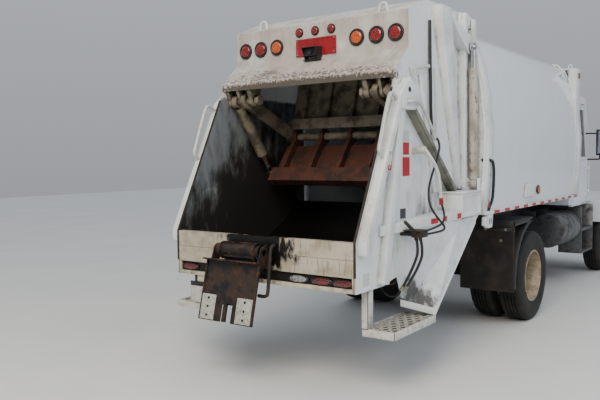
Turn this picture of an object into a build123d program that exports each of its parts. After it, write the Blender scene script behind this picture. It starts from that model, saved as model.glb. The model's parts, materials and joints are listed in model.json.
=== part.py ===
"""Two-axle rear-loading refuse truck. Millimetres, +X forward, +Y left, +Z up.

Stations are measured forward from the rear face of the loading sill; SILL places that face.
"""
import os
from math import cos, radians, sin

from build123d import *

os.makedirs("parts", exist_ok=True)

SILL = -4155.0

TYRE_R = 516.0
TYRE_HALF = 137.0
RIM_R = 286.0
FLANGE_R = 298.5
REAR_AXLE = 3543.0
FRONT_AXLE = 7660.0
REAR_OUTER_Y = 1091.0
REAR_INNER_Y = 752.0
FRONT_WHEEL_Y = 1000.0
KINGPIN_Y = 880.0

RAIL_OUT = 430.0
RAIL_IN = 355.0
RAIL_LOW = 890.0
RAIL_TOP = 1140.0
RAIL_REAR = 2150.0
RAIL_FRONT = 8330.0
TOW_X = 8520.0
TOW_Y = 380.0
TOW_Z = 690.0

TAIL_Y = 960.0
TAIL_WALL = 20.0
SILL_TOP = 1255.0
SILL_MID = 1118.0
SILL_LOW = 980.0
SIDE_LOW = 860.0
TAIL_FRONT = 1990.0
TAIL_ROOF = 3300.0
HEADER_X = 883.0
HEADER_TOP = 3158.0
HEADER_LOW = 2842.0
LIP_X = 649.0
LIP_TOP = 2636.0
LIP_LOW = 2568.0

BODY_REAR = 2060.0
BODY_FRONT = 5620.0
BODY_Y = 1200.0
BODY_FLOOR = 1404.0
RAIL_Z0 = 1327.0
SILL_RAIL_TOP = 1364.0
PORTAL_X = 2080.0

SWING_X = 760.0
SWING_Z = 2470.0
BLADE_X = 1530.0
BLADE_Z = 2130.0
TROUGH_R = 1500.0
EYE_X = 1280.0
EYE_Z = 1750.0

HINGE_X = 2160.0
HINGE_Z = 3215.0
LIFT_TOP_X = 1985.0
LIFT_TOP_Z = 2960.0
LIFT_LOW_X = 2020.0
LIFT_LOW_Z = 1640.0
LIFT_Y = 1090.0

CAB_REAR = 5860.0
CAB_FRONT = 7080.0
CAB_Y = 1000.0
CAB_FLOOR = 1180.0
CAB_ROOF = 2790.0
DOOR_X0 = 6010.0
DOOR_X1 = 6960.0
DOOR_Z0 = 1150.0
DOOR_Z1 = 2670.0
DOOR_T = 45.0

HOOD_REAR = 7092.0
HOOD_FRONT = 8460.0
BUMPER_FRONT = 8600.0

LIFTER_Y = 130.0
LIFTER_X = -75.0
LIFTER_Z = 1130.0

HOOD_PIVOT_X = 8410.0
HOOD_PIVOT_Z = 810.0
DOOR_HINGE_X = 6964.0
DOOR_HINGE_Y = 1013.0
DOOR_HINGE_ROWS = (1330.0, 1690.0)


def slab(x0, x1, y0, y1, z0, z1, mode=Mode.ADD):
    with Locations((SILL + (x0 + x1) / 2, (y0 + y1) / 2, (z0 + z1) / 2)):
        Box(abs(x1 - x0), abs(y1 - y0), abs(z1 - z0), mode=mode)


def slab_pair(x0, x1, y0, y1, z0, z1, mode=Mode.ADD):
    slab(x0, x1, y0, y1, z0, z1, mode)
    slab(x0, x1, -y1, -y0, z0, z1, mode)


def side_prism(points, y0, y1, mode=Mode.ADD):
    with BuildSketch(Plane.XZ.offset(-y1), mode=Mode.PRIVATE) as outline:
        with BuildLine() as edge:
            Polyline(*[(SILL + x, z) for x, z in points], close=True)
        make_face(edge.edges())
    extrude(outline.sketch, amount=y1 - y0, mode=mode)


def side_pair(points, y0, y1, mode=Mode.ADD):
    side_prism(points, y0, y1, mode)
    side_prism(points, -y1, -y0, mode)


def plan_prism(points, z0, z1, mode=Mode.ADD):
    with BuildSketch(Plane.XY.offset(z0), mode=Mode.PRIVATE) as outline:
        with BuildLine() as edge:
            Polyline(*[(SILL + x, y) for x, y in points], close=True)
        make_face(edge.edges())
    extrude(outline.sketch, amount=z1 - z0, mode=mode)


def cross_prism(points, x0, x1, mode=Mode.ADD):
    with BuildSketch(Plane.YZ.offset(SILL + x0), mode=Mode.PRIVATE) as outline:
        with BuildLine() as edge:
            Polyline(*points, close=True)
        make_face(edge.edges())
    extrude(outline.sketch, amount=x1 - x0, mode=mode)


def rod(p, q, radius, mode=Mode.ADD):
    start = Vector(SILL + p[0], p[1], p[2])
    end = Vector(SILL + q[0], q[1], q[2])
    with BuildSketch(Plane(origin=start, z_dir=end - start), mode=Mode.PRIVATE) as ring:
        Circle(radius)
    extrude(ring.sketch, amount=(end - start).length, mode=mode)


def cross_rod(x, y0, y1, z, radius, mode=Mode.ADD):
    rod((x, y0, z), (x, y1, z), radius, mode)


def bar(p, q, width, depth, mode=Mode.ADD):
    """Rectangular bar between two points; depth lies along Y."""
    start = Vector(SILL + p[0], p[1], p[2])
    end = Vector(SILL + q[0], q[1], q[2])
    with BuildSketch(Plane(origin=start, x_dir=(0, 1, 0), z_dir=end - start), mode=Mode.PRIVATE) as box:
        Rectangle(depth, width)
    extrude(box.sketch, amount=(end - start).length, mode=mode)


def pipe(points, radius, bend, mode=Mode.ADD):
    spots = [(SILL + x, y, z) for x, y, z in points]
    with BuildLine() as route:
        FilletPolyline(*spots, radius=bend)
    start = route.wire() @ 0
    way = route.wire() % 0
    with BuildSketch(Plane(origin=start, z_dir=way), mode=Mode.PRIVATE) as ring:
        Circle(radius)
    sweep(ring.sketch, path=route.wire(), mode=mode)


def turned(profile, x, z):
    """Solid of revolution about the Y line through (x, z); profile rows are (y, radius)."""
    with BuildSketch(Plane.YZ.offset(SILL + x), mode=Mode.PRIVATE) as outline:
        with BuildLine() as edge:
            Polyline(*[(y, z + r) for y, r in profile], close=True)
        make_face(edge.edges())
    revolve(outline.sketch, axis=Axis((SILL + x, 0, z), (0, 1, 0)))


def chassis_frame():
    with BuildPart() as chassis:
        for s in (1, -1):
            cross_prism([(s * RAIL_OUT, RAIL_LOW), (s * RAIL_OUT, RAIL_TOP), (s * RAIL_IN, RAIL_TOP),
                         (s * RAIL_IN, RAIL_TOP - 12), (s * (RAIL_OUT - 12), RAIL_TOP - 12),
                         (s * (RAIL_OUT - 12), RAIL_LOW + 12), (s * RAIL_IN, RAIL_LOW + 12),
                         (s * RAIL_IN, RAIL_LOW)], RAIL_REAR, RAIL_FRONT)
            slab(BODY_REAR, BODY_FRONT, s * RAIL_IN, s * RAIL_OUT, RAIL_TOP, RAIL_Z0)
            for x in (2900, 4190, 7120, 8200):
                y0, y1 = (430, 550) if x < 5000 else (380, 470)
                z0 = 740 if x < 5000 else 680
                slab(x - 35, x + 35, s * y0, s * y1, z0, 900)
    chassis.part.label = "chassis_frame"
    export_step(chassis.part, "parts/chassis_frame.step")


def frame_crossmembers():
    with BuildPart() as members:
        for x in (2180, 2700, 3700, 4700, 5700, 6300):
            slab(x, x + 60, -418, 418, 985, 1100)
        slab(RAIL_FRONT, RAIL_FRONT + 50, -RAIL_OUT - 36, RAIL_OUT + 36, 640, 1100)
        for s in (1, -1):
            slab(RAIL_FRONT + 50, HOOD_PIVOT_X, s * 430, s * 466, HOOD_PIVOT_Z - 36, HOOD_PIVOT_Z + 36)
            cross_rod(HOOD_PIVOT_X, s * 430, s * 466, HOOD_PIVOT_Z, 36)
            cross_rod(HOOD_PIVOT_X, s * 429, s * 467, HOOD_PIVOT_Z, 20.4, Mode.SUBTRACT)
            slab(RAIL_FRONT + 50, TOW_X, s * (TOW_Y - 38), s * (TOW_Y + 38), TOW_Z - 10, TOW_Z + 10)
            rod((TOW_X, s * TOW_Y, TOW_Z - 10), (TOW_X, s * TOW_Y, TOW_Z + 10), 38)
            rod((TOW_X, s * TOW_Y, TOW_Z - 11), (TOW_X, s * TOW_Y, TOW_Z + 11), 20, Mode.SUBTRACT)
    members.part.label = "frame_crossmembers"
    export_step(members.part, "parts/frame_crossmembers.step")


def leaf_pack(xc, half, z_mid, z_end, thick, y0, y1):
    with BuildSketch(Plane.XZ.offset(-y1), mode=Mode.PRIVATE) as outline:
        with BuildLine() as edge:
            a = (SILL + xc - half, z_end)
            b = (SILL + xc + half, z_end)
            low = ThreePointArc(a, (SILL + xc, z_mid), b)
            Line(low @ 1, (SILL + xc + half, z_end + 25))
            top = ThreePointArc((SILL + xc + half, z_end + 25), (SILL + xc, z_mid + thick),
                                (SILL + xc - half, z_end + 25))
            Line(top @ 1, a)
        make_face(edge.edges())
    extrude(outline.sketch, amount=y1 - y0)


def rear_axle():
    with BuildPart() as axle:
        cross_rod(REAR_AXLE, -600, 600, TYRE_R, 75)
        cross_rod(REAR_AXLE, -1000, 1000, TYRE_R, 50)
        rod((REAR_AXLE - 150, 0, TYRE_R), (REAR_AXLE + 170, 0, TYRE_R), 190)
        rod((REAR_AXLE + 170, 0, TYRE_R + 5), (REAR_AXLE + 240, 0, TYRE_R + 15), 70)
        for y0, y1 in ((470, 550), (-550, -470)):
            slab(REAR_AXLE - 80, REAR_AXLE + 80, y0, y1, TYRE_R, 610)
            leaf_pack(REAR_AXLE, 610, 605, 690, 70, y0, y1)
    axle.part.label = "rear_axle"
    export_step(axle.part, "parts/rear_axle.step")


def front_axle():
    with BuildPart() as beam:
        with BuildSketch(Plane.YZ.offset(SILL + FRONT_AXLE - 45)):
            with BuildLine():
                Polyline((-KINGPIN_Y, 445), (-800, 445), (-640, 370), (640, 370), (800, 445),
                         (KINGPIN_Y, 445), (KINGPIN_Y, 585), (780, 585), (620, 480), (-620, 480),
                         (-780, 585), (-KINGPIN_Y, 585), close=True)
            make_face()
        extrude(amount=90)
        for s in (1, -1):
            rod((FRONT_AXLE, s * KINGPIN_Y, 445), (FRONT_AXLE, s * KINGPIN_Y, 585), 50)
            rod((FRONT_AXLE, s * KINGPIN_Y, 385), (FRONT_AXLE, s * KINGPIN_Y, 645), 20)
        for y0, y1 in ((390, 465), (-465, -390)):
            slab(FRONT_AXLE - 70, FRONT_AXLE + 70, y0, y1, 475, 530)
            leaf_pack(FRONT_AXLE, 510, 525, 640, 60, y0, y1)
    beam.part.label = "front_axle"
    export_step(beam.part, "parts/front_axle.step")


def knuckle(side, name):
    s = side
    with BuildPart() as hub:
        for z0, z1 in ((391, 437), (593, 639)):
            slab(FRONT_AXLE - 45, FRONT_AXLE + 45, s * 835, s * 965, z0, z1)
        for z0, z1 in ((380, 440), (590, 650)):
            rod((FRONT_AXLE, s * KINGPIN_Y, z0), (FRONT_AXLE, s * KINGPIN_Y, z1), 26, Mode.SUBTRACT)
        slab(FRONT_AXLE - 60, FRONT_AXLE + 60, s * 940, s * 965, 391, 639)
        rod((FRONT_AXLE, s * 960, TYRE_R), (FRONT_AXLE, s * 1060, TYRE_R), 42)
        slab(FRONT_AXLE - 240, FRONT_AXLE - 40, s * 835, s * 865, 391, 421)
    hub.part.label = name
    export_step(hub.part, f"parts/{name}.step")


def engine_block():
    with BuildPart() as engine:
        slab(7250, 8100, -330, 330, 800, 1450)
        rod((7255, 0, 980), (6480, 0, 960), 185)
        rod((6500, 0, 930), (REAR_AXLE + 255, 0, TYRE_R + 20), 50)
    engine.part.label = "engine_block"
    export_step(engine.part, "parts/engine_block.step")


def fuel_tanks():
    with BuildPart() as tanks:
        for s in (1, -1):
            rod((5300, s * 850, 850), (6200, s * 850, 850), 235)
            for x in (5450, 6000):
                slab(x, x + 60, s * 430, s * 640, 640, 1100)
            for x in (6290, 6960):
                slab(x, x + 12, s * 740, s * 1080, 430, 1140)
            slab(6290, 6972, s * 430, s * 745, 1060, 1120)
            slab(6290, 6972, s * 800, s * 1080, 430, 460)
            slab(6290, 6972, s * 820, s * 1080, 770, 800)
    tanks.part.label = "fuel_tanks"
    export_step(tanks.part, "parts/fuel_tanks.step")


def rear_fenders():
    outer, inner = 690, 678
    with BuildPart() as fenders:
        for s in (1, -1):
            for k in range(9):
                a0 = radians(5 + k * 10)
                a1 = radians(15 + k * 10)
                ring = [(REAR_AXLE + outer * cos(a0), TYRE_R + outer * sin(a0)),
                        (REAR_AXLE + outer * cos(a1), TYRE_R + outer * sin(a1)),
                        (REAR_AXLE + inner * cos(a1), TYRE_R + inner * sin(a1)),
                        (REAR_AXLE + inner * cos(a0), TYRE_R + inner * sin(a0))]
                y0, y1 = (610, 1225) if s > 0 else (-1225, -610)
                side_prism(ring, y0, y1)
            y0, y1 = (610, 1225) if s > 0 else (-1225, -610)
            side_prism([(2840, 1193), (REAR_AXLE - 55, 1193), (REAR_AXLE - 55, 1206), (2840, 1206)],
                       y0, y1)
            slab(2840, 2852, y0, y1, 1090, 1206)
            slab(2828, 2840, y0, y1, 430, 1150)
            for x in (2900, 3950):
                slab(x, x + 40, s * 430, s * 640, 1085, 1110 if x > 3000 else 1198)
    fenders.part.label = "rear_fenders"
    export_step(fenders.part, "parts/rear_fenders.step")


def tyre(name, x, rows):
    with BuildPart() as ring:
        for yc in rows:
            turned([(yc - 108, RIM_R), (yc - 108, 300), (yc - 124, 330), (yc - TYRE_HALF, 400), (yc - 128, 470),
                    (yc - 110, 508), (yc - 90, TYRE_R), (yc + 90, TYRE_R), (yc + 110, 508),
                    (yc + 128, 470), (yc + TYRE_HALF, 400), (yc + 124, 330),
                    (yc + 108, 300), (yc + 108, RIM_R)],
                   x, TYRE_R)
    ring.part.label = name
    export_step(ring.part, f"parts/{name}.step")


def barrel_profile(yc):
    return [(yc - 120, FLANGE_R), (yc - 108, FLANGE_R), (yc - 108, RIM_R), (yc + 108, RIM_R),
            (yc + 108, FLANGE_R), (yc + 120, FLANGE_R), (yc + 120, 280), (yc + 20, 255),
            (yc - 20, 255), (yc - 120, 280)]


def rear_rim(side, name):
    s = side
    with BuildPart() as rim:
        for yc in (REAR_OUTER_Y, REAR_INNER_Y):
            turned(barrel_profile(s * yc), REAR_AXLE, TYRE_R)
        turned([(s * 905, 258), (s * 930, 258), (s * 985, 120), (s * 985, 60), (s * 935, 60),
                (s * 935, 105)], REAR_AXLE, TYRE_R)
        turned([(s * 780, 257), (s * 905, 258), (s * 935, 120), (s * 935, 60), (s * 910, 60),
                (s * 910, 105), (s * 780, 230)], REAR_AXLE, TYRE_R)
        turned([(s * 920, 56), (s * 1060, 56), (s * 1060, 95), (s * 980, 105), (s * 920, 105)],
               REAR_AXLE, TYRE_R)
        turned([(s * 1055, 0), (s * 1080, 0), (s * 1080, 80), (s * 1055, 95)], REAR_AXLE, TYRE_R)
        turned([(s * 640, 205), (s * 910, 205), (s * 910, 215), (s * 640, 215)], REAR_AXLE, TYRE_R)
        turned([(s * 900, 60), (s * 912, 60), (s * 912, 215), (s * 900, 215)], REAR_AXLE, TYRE_R)
    rim.part.label = name
    export_step(rim.part, f"parts/{name}.step")


def front_rim(side, name):
    s = side
    yc = FRONT_WHEEL_Y
    with BuildPart() as rim:
        turned(barrel_profile(s * yc), FRONT_AXLE, TYRE_R)
        turned([(s * (yc + 20), 258), (s * (yc + 75), 256), (s * (yc + 85), 120),
                (s * (yc + 85), 55), (s * (yc + 65), 55), (s * (yc + 65), 110),
                (s * (yc + 50), 235)], FRONT_AXLE, TYRE_R)
        turned([(s * 985, 50), (s * 1100, 50), (s * 1100, 85), (s * 1060, 95), (s * 985, 95)],
               FRONT_AXLE, TYRE_R)
        turned([(s * 1095, 0), (s * 1115, 0), (s * 1115, 70), (s * 1095, 85)], FRONT_AXLE, TYRE_R)
    rim.part.label = name
    export_step(rim.part, f"parts/{name}.step")


CAB_SIDE = [(CAB_REAR, CAB_FLOOR), (CAB_REAR, 2700), (CAB_REAR + 90, CAB_ROOF), (6690, CAB_ROOF),
            (6760, 2750), (7070, 1830), (CAB_FRONT, 1780), (CAB_FRONT, CAB_FLOOR)]


def cab_shell():
    with BuildPart() as cab:
        side_prism(CAB_SIDE, -CAB_Y, CAB_Y)
        inner = [(CAB_REAR + 45, CAB_FLOOR + 45), (CAB_REAR + 45, 2690), (CAB_REAR + 110, 2745),
                 (6670, 2745), (6715, 2720), (7020, 1810), (7035, 1770), (7035, CAB_FLOOR + 45)]
        side_prism(inner, -CAB_Y + DOOR_T, CAB_Y - DOOR_T, Mode.SUBTRACT)
        door = [(DOOR_X0 - 8, DOOR_Z0 - 60), (DOOR_X0 - 8, DOOR_Z1 + 8), (6700, DOOR_Z1 + 8),
                (DOOR_X1 + 8, 1890), (DOOR_X1 + 8, DOOR_Z0 - 60)]
        side_prism(door, -CAB_Y - 1, -CAB_Y + DOOR_T + 1, Mode.SUBTRACT)
        side_prism(door, CAB_Y - DOOR_T - 1, CAB_Y + 1, Mode.SUBTRACT)
        side_prism([(6700, 2680), (6900, 2680), (7150, 1880), (6980, 1880)], -880, 880, Mode.SUBTRACT)
        slab(CAB_REAR - 1, CAB_REAR + 50, -620, 620, 1980, 2480, Mode.SUBTRACT)
        for s in (1, -1):
            for z in DOOR_HINGE_ROWS:
                rod((DOOR_HINGE_X, s * DOOR_HINGE_Y, z + 40), (DOOR_HINGE_X, s * DOOR_HINGE_Y, z + 78), 11)
                slab(DOOR_HINGE_X, 7040, s * CAB_Y, s * (CAB_Y + 10), z + 40, z + 78)
        for x in (5900, 6900):
            slab(x, x + 80, -RAIL_OUT, -RAIL_IN, RAIL_TOP, CAB_FLOOR)
            slab(x, x + 80, RAIL_IN, RAIL_OUT, RAIL_TOP, CAB_FLOOR)
    cab.part.label = "cab_shell"
    export_step(cab.part, "parts/cab_shell.step")


def cab_glass():
    with BuildPart() as glass:
        side_prism([(6738, 2680), (6746, 2680), (7022, 1880), (7014, 1880)], -880, 880)
        slab(CAB_REAR + 20, CAB_REAR + 26, -620, 620, 1980, 2480)
    glass.part.label = "cab_glass"
    export_step(glass.part, "parts/cab_glass.step")


def cab_interior():
    with BuildPart() as trim:
        for y0, y1 in ((270, 770), (-770, -270)):
            slab(6020, 6480, y0, y1, 1225, 1400)
            slab(6000, 6500, y0, y1, 1400, 1500)
            side_prism([(6000, 1500), (6140, 1500), (6080, 2150), (5970, 2150)], y0, y1)
        side_prism([(6780, 1640), (6880, 1740), (7030, 1740), (7035, 1226), (6950, 1226)], -940, 940)
        rod((6800, 520, 1560), (6660, 520, 1680), 25)
        with Locations(Plane(origin=(SILL + 6655, 520, 1685), z_dir=(-0.76, 0, 0.65))):
            Torus(210, 14)
            Cylinder(40, 30)
            Box(400, 22, 16)
    trim.part.label = "cab_interior"
    export_step(trim.part, "parts/cab_interior.step")


DOOR_SIDE = [(DOOR_X0, DOOR_Z0), (DOOR_X0, DOOR_Z1), (6700, DOOR_Z1), (DOOR_X1, 1870),
             (DOOR_X1, DOOR_Z0)]
WINDOW = [(6090, 1880), (6090, 2590), (6650, 2590), (6870, 1880)]


def cab_door(side, name):
    y0, y1 = (CAB_Y - DOOR_T, CAB_Y) if side > 0 else (-CAB_Y, -CAB_Y + DOOR_T)
    with BuildPart() as door:
        side_prism(DOOR_SIDE, y0, y1)
        side_prism(WINDOW, y0 - 1, y1 + 1, Mode.SUBTRACT)
        y2 = side * (CAB_Y + 14)
        slab(6060, 6180, side * CAB_Y, y2, 1700, 1730)
        for z in DOOR_HINGE_ROWS:
            rod((DOOR_HINGE_X, side * DOOR_HINGE_Y, z), (DOOR_HINGE_X, side * DOOR_HINGE_Y, z + 38), 11)
            slab(6900, DOOR_HINGE_X, side * CAB_Y, side * (CAB_Y + 10), z, z + 38)
    door.part.label = name
    export_step(door.part, f"parts/{name}.step")


def door_glass(side, name):
    y0, y1 = (975, 981) if side > 0 else (-981, -975)
    with BuildPart() as pane:
        side_prism(WINDOW, y0, y1)
    pane.part.label = name
    export_step(pane.part, f"parts/{name}.step")


def mirror(side, name):
    s = side
    with BuildPart() as mirror_set:
        slab(6890, 6960, s * 1130, s * 1330, 1900, 2300)
        pipe([(6790, s * 1000, 2240), (6790, s * 1070, 2240), (6925, s * 1180, 2240),
              (6925, s * 1180, 2290)], 12, 20)
        pipe([(6925, s * 1000, 1840), (6925, s * 1180, 1840), (6925, s * 1180, 1910)], 12, 20)
    mirror_set.part.label = name
    export_step(mirror_set.part, f"parts/{name}.step")


def hood():
    with BuildPart() as bonnet:
        side_prism([(HOOD_REAR, 1170), (HOOD_REAR, 1770), (8150, 1640), (8400, 1540),
                    (HOOD_FRONT, 1440), (HOOD_FRONT, 1170)], -640, 640)
        side_prism([(HOOD_REAR - 1, 1160), (HOOD_REAR - 1, 1738), (8140, 1608), (8385, 1510),
                    (8430, 1430), (8430, 1160)], -608, 608, Mode.SUBTRACT)
        for s in (1, -1):
            slab(HOOD_REAR, HOOD_FRONT, s * 608, s * 1190, 1170, 1200)
            slab(8430, HOOD_FRONT, s * 1, s * 1190, 850, 1200)
            y0, y1 = (1160, 1190) if s > 0 else (-1190, -1160)
            slab(HOOD_REAR, HOOD_FRONT, y0, y1, 850, 1200)
            with BuildSketch(Plane.XZ.offset(-y1 - 5), mode=Mode.PRIVATE) as arch:
                with Locations((SILL + FRONT_AXLE, TYRE_R)):
                    Circle(575)
            extrude(arch.sketch, amount=y1 - y0 + 10, mode=Mode.SUBTRACT)
            slab(HOOD_REAR, HOOD_REAR + 25, s * 700, s * 1190, 850, 1200)
            slab(8385, 8435, s * 480, s * 520, HOOD_PIVOT_Z, 900)
            cross_rod(HOOD_PIVOT_X, s * 480, s * 520, HOOD_PIVOT_Z, 30)
            cross_rod(HOOD_PIVOT_X, s * 434, s * 485, HOOD_PIVOT_Z, 20)
        slab(8425, HOOD_FRONT + 1, -430, 430, 930, 1390, Mode.SUBTRACT)
    bonnet.part.label = "hood"
    export_step(bonnet.part, "parts/hood.step")


def grille():
    with BuildPart() as screen:
        slab(8435, 8465, -430, 430, 1375, 1390)
        slab(8435, 8465, -430, 430, 930, 945)
        for y in (-430, -220, -7, 205, 415):
            slab(8435, 8465, y, y + 15, 930, 1390)
        for k in range(9):
            slab(8440, 8460, -425, 425, 985 + 44 * k, 997 + 44 * k)
    screen.part.label = "grille"
    export_step(screen.part, "parts/grille.step")


def headlamps():
    with BuildPart() as lamps:
        for s in (1, -1):
            slab(HOOD_FRONT, HOOD_FRONT + 22, s * 660, s * 950, 950, 1110)
            slab(HOOD_FRONT, HOOD_FRONT + 18, s * 965, s * 1150, 960, 1100)
    lamps.part.label = "headlamps"
    export_step(lamps.part, "parts/headlamps.step")


def front_bumper():
    with BuildPart() as bumper:
        plan = [(8440, -1170), (8520, -1170), (8585, -1000), (BUMPER_FRONT, -800),
                (BUMPER_FRONT, 800), (8585, 1000), (8520, 1170), (8440, 1170), (8440, 1160),
                (8512, 1160), (8573, 995), (8588, 795), (8588, -795), (8573, -995), (8512, -1160),
                (8440, -1160)]
        plan_prism(plan, 450, 720)
        for s in (1, -1):
            slab(8390, 8590, s * 425, s * 495, 700, 712)
            slab(8390, 8590, s * 425, s * 495, 500, 512)
            slab(8390, 8590, s * 425, s * 437, 500, 712)
    bumper.part.label = "front_bumper"
    export_step(bumper.part, "parts/front_bumper.step")


def body_section(inset):
    i = inset
    return [(-1160 + i, BODY_FLOOR - 40 + i), (-1192 + i, 1800), (-1200 + i, 2150),
            (-1165 + i, 2550), (-1095 + i, 2860), (-1010 + i * 0.9, 3050 - i * 0.5),
            (-900 + i * 0.5, 3150 - i), (-500, 3185 - i), (0, 3196 - i), (500, 3185 - i),
            (900 - i * 0.5, 3150 - i), (1010 - i * 0.9, 3050 - i * 0.5), (1095 - i, 2860),
            (1165 - i, 2550), (1200 - i, 2150), (1192 - i, 1800), (1160 - i, BODY_FLOOR - 40 + i)]


def body_shell():
    with BuildPart() as shell:
        cross_prism(body_section(0), BODY_REAR, BODY_FRONT)
        cross_prism(body_section(25), BODY_REAR - 1, BODY_FRONT - 25, Mode.SUBTRACT)
    shell.part.label = "body_shell"
    export_step(shell.part, "parts/body_shell.step")


def body_frames():
    with BuildPart() as frames:
        for x0, x1, grow in ((BODY_REAR, BODY_REAR + 150, 22), (5470, BODY_FRONT + 10, 22)):
            cross_prism(body_section(-grow), x0, x1)
        for s in (1, -1):
            slab(HINGE_X - 40, HINGE_X + 45, s * 930, s * 960, 3100, HINGE_Z + 40)
            slab(HINGE_X - 40, HINGE_X + 45, s * 1010, s * 1040, 3000, HINGE_Z + 40)
        cross_prism(body_section(0), BODY_REAR - 1, BODY_FRONT + 11, Mode.SUBTRACT)
        slab(BODY_REAR - 1, BODY_FRONT + 11, -1300, 1300, 1300, SILL_RAIL_TOP, Mode.SUBTRACT)
        cross_prism(body_section(25), PORTAL_X, PORTAL_X + 50)
        slab(PORTAL_X - 1, PORTAL_X + 51, -975, 975, BODY_FLOOR - 20, 3090, Mode.SUBTRACT)
        for s in (1, -1):
            slab(LIFT_LOW_X - 40, PORTAL_X, s * 1034, s * 1044, 1560, 1690)
            slab(LIFT_LOW_X - 40, PORTAL_X, s * 1136, s * 1146, 1560, 1690)
            cross_rod(LIFT_LOW_X, s * 1034, s * 1146, LIFT_LOW_Z, 20)
            cross_rod(HINGE_X, s * 930, s * 1040, HINGE_Z, 20)
    frames.part.label = "body_frames"
    export_step(frames.part, "parts/body_frames.step")


def body_sills():
    with BuildPart() as sills:
        slab_pair(BODY_REAR, BODY_FRONT, 1150, BODY_Y, RAIL_Z0, SILL_RAIL_TOP)
        for k in range(7):
            x = BODY_REAR + 10 + k * 585
            slab(x, x + 40, -1160, 1160, RAIL_Z0, SILL_RAIL_TOP)
    sills.part.label = "body_sills"
    export_step(sills.part, "parts/body_sills.step")


def side_lamps():
    with BuildPart() as lamps:
        for s in (1, -1):
            rod((3640, s * 1226, 1520), (3640, s * 1245, 1520), 32)
            rod((5560, s * 1130, 3010), (5560, s * 1150, 3015), 30)
    lamps.part.label = "side_lamps"
    export_step(lamps.part, "parts/side_lamps.step")


def ejector_panel():
    with BuildPart() as panel:
        section = [(-1110, 1440), (-1130, 1800), (-1135, 2150), (-1100, 2550), (-1020, 2860),
                   (-900, 3020), (900, 3020), (1020, 2860), (1100, 2550), (1135, 2150),
                   (1130, 1800), (1110, 1440)]
        cross_prism(section, 5150, 5190)
        for y in (-700, 0, 700):
            side_prism([(5190, 1440), (5190, 2600), (5230, 2600), (5500, 1440)], y - 30, y + 30)
    panel.part.label = "ejector_panel"
    export_step(panel.part, "parts/ejector_panel.step")


TAIL_SIDE = [(0, SIDE_LOW), (0, SILL_TOP), (600, 2480), (LIP_X, LIP_LOW), (LIP_X, LIP_TOP),
             (HEADER_X, HEADER_LOW), (HEADER_X, HEADER_TOP), (1230, TAIL_ROOF),
             (TAIL_FRONT, TAIL_ROOF), (TAIL_FRONT, 1345), (1790, 1345), (1560, 1150),
             (1230, 985), (760, 925), (420, SIDE_LOW)]


def tailgate_shell():
    with BuildPart() as tail:
        side_pair(TAIL_SIDE, TAIL_Y - TAIL_WALL, TAIL_Y)
        y = TAIL_Y - TAIL_WALL
        side_prism([(LIP_X, LIP_LOW), (LIP_X, LIP_TOP), (HEADER_X, HEADER_LOW),
                    (HEADER_X, HEADER_TOP), (1230, TAIL_ROOF), (TAIL_FRONT, TAIL_ROOF),
                    (TAIL_FRONT, TAIL_ROOF - 15), (1234, TAIL_ROOF - 15), (HEADER_X + 15, HEADER_TOP - 10),
                    (HEADER_X + 15, HEADER_LOW - 5), (LIP_X + 15, LIP_TOP - 5), (LIP_X + 15, LIP_LOW)],
                   -y, y)
    tail.part.label = "tailgate_shell"
    export_step(tail.part, "parts/tailgate_shell.step")


def trough_face(radius_in, radius_out):
    cx, cz = SILL + SWING_X, SWING_Z
    a_end = radians(-44)
    with BuildLine() as edge:
        p0 = (cx, cz - radius_in)
        p1 = (cx + radius_in * cos(radians(-67)), cz + radius_in * sin(radians(-67)))
        p2 = (cx + radius_in * cos(a_end), cz + radius_in * sin(a_end))
        q0 = (cx, cz - radius_out)
        q1 = (cx + radius_out * cos(radians(-67)), cz + radius_out * sin(radians(-67)))
        q2 = (cx + radius_out * cos(a_end), cz + radius_out * sin(a_end))
        Line((SILL + 30, 905), (SILL + 30, 925))
        Line((SILL + 30, 925), p0)
        ThreePointArc(p0, p1, p2)
        Line(p2, q2)
        ThreePointArc(q2, q1, q0)
        Line(q0, (SILL + 30, 905))
    return make_face(edge.edges(), mode=Mode.PRIVATE)


def hopper_trough():
    y = TAIL_Y - TAIL_WALL
    with BuildPart() as trough:
        with BuildSketch(Plane.XZ.offset(-y)):
            add(trough_face(TROUGH_R, TROUGH_R + 20))
        extrude(amount=2 * y)
        slab(0, 60, -y, y, SILL_MID + 2, SILL_TOP)
        slab(6, 60, -y, y, SILL_MID - 2, SILL_MID + 2)
        slab(0, 60, -y, y, SILL_LOW, SILL_MID - 2)
        slab(30, 60, -y, y, SIDE_LOW + 10, SILL_LOW)
    trough.part.label = "hopper_trough"
    export_step(trough.part, "parts/hopper_trough.step")


POST = [(0, 1140), (0, SILL_TOP), (590, 2480), (780, 2620), (830, 2560), (120, 1140)]


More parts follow.
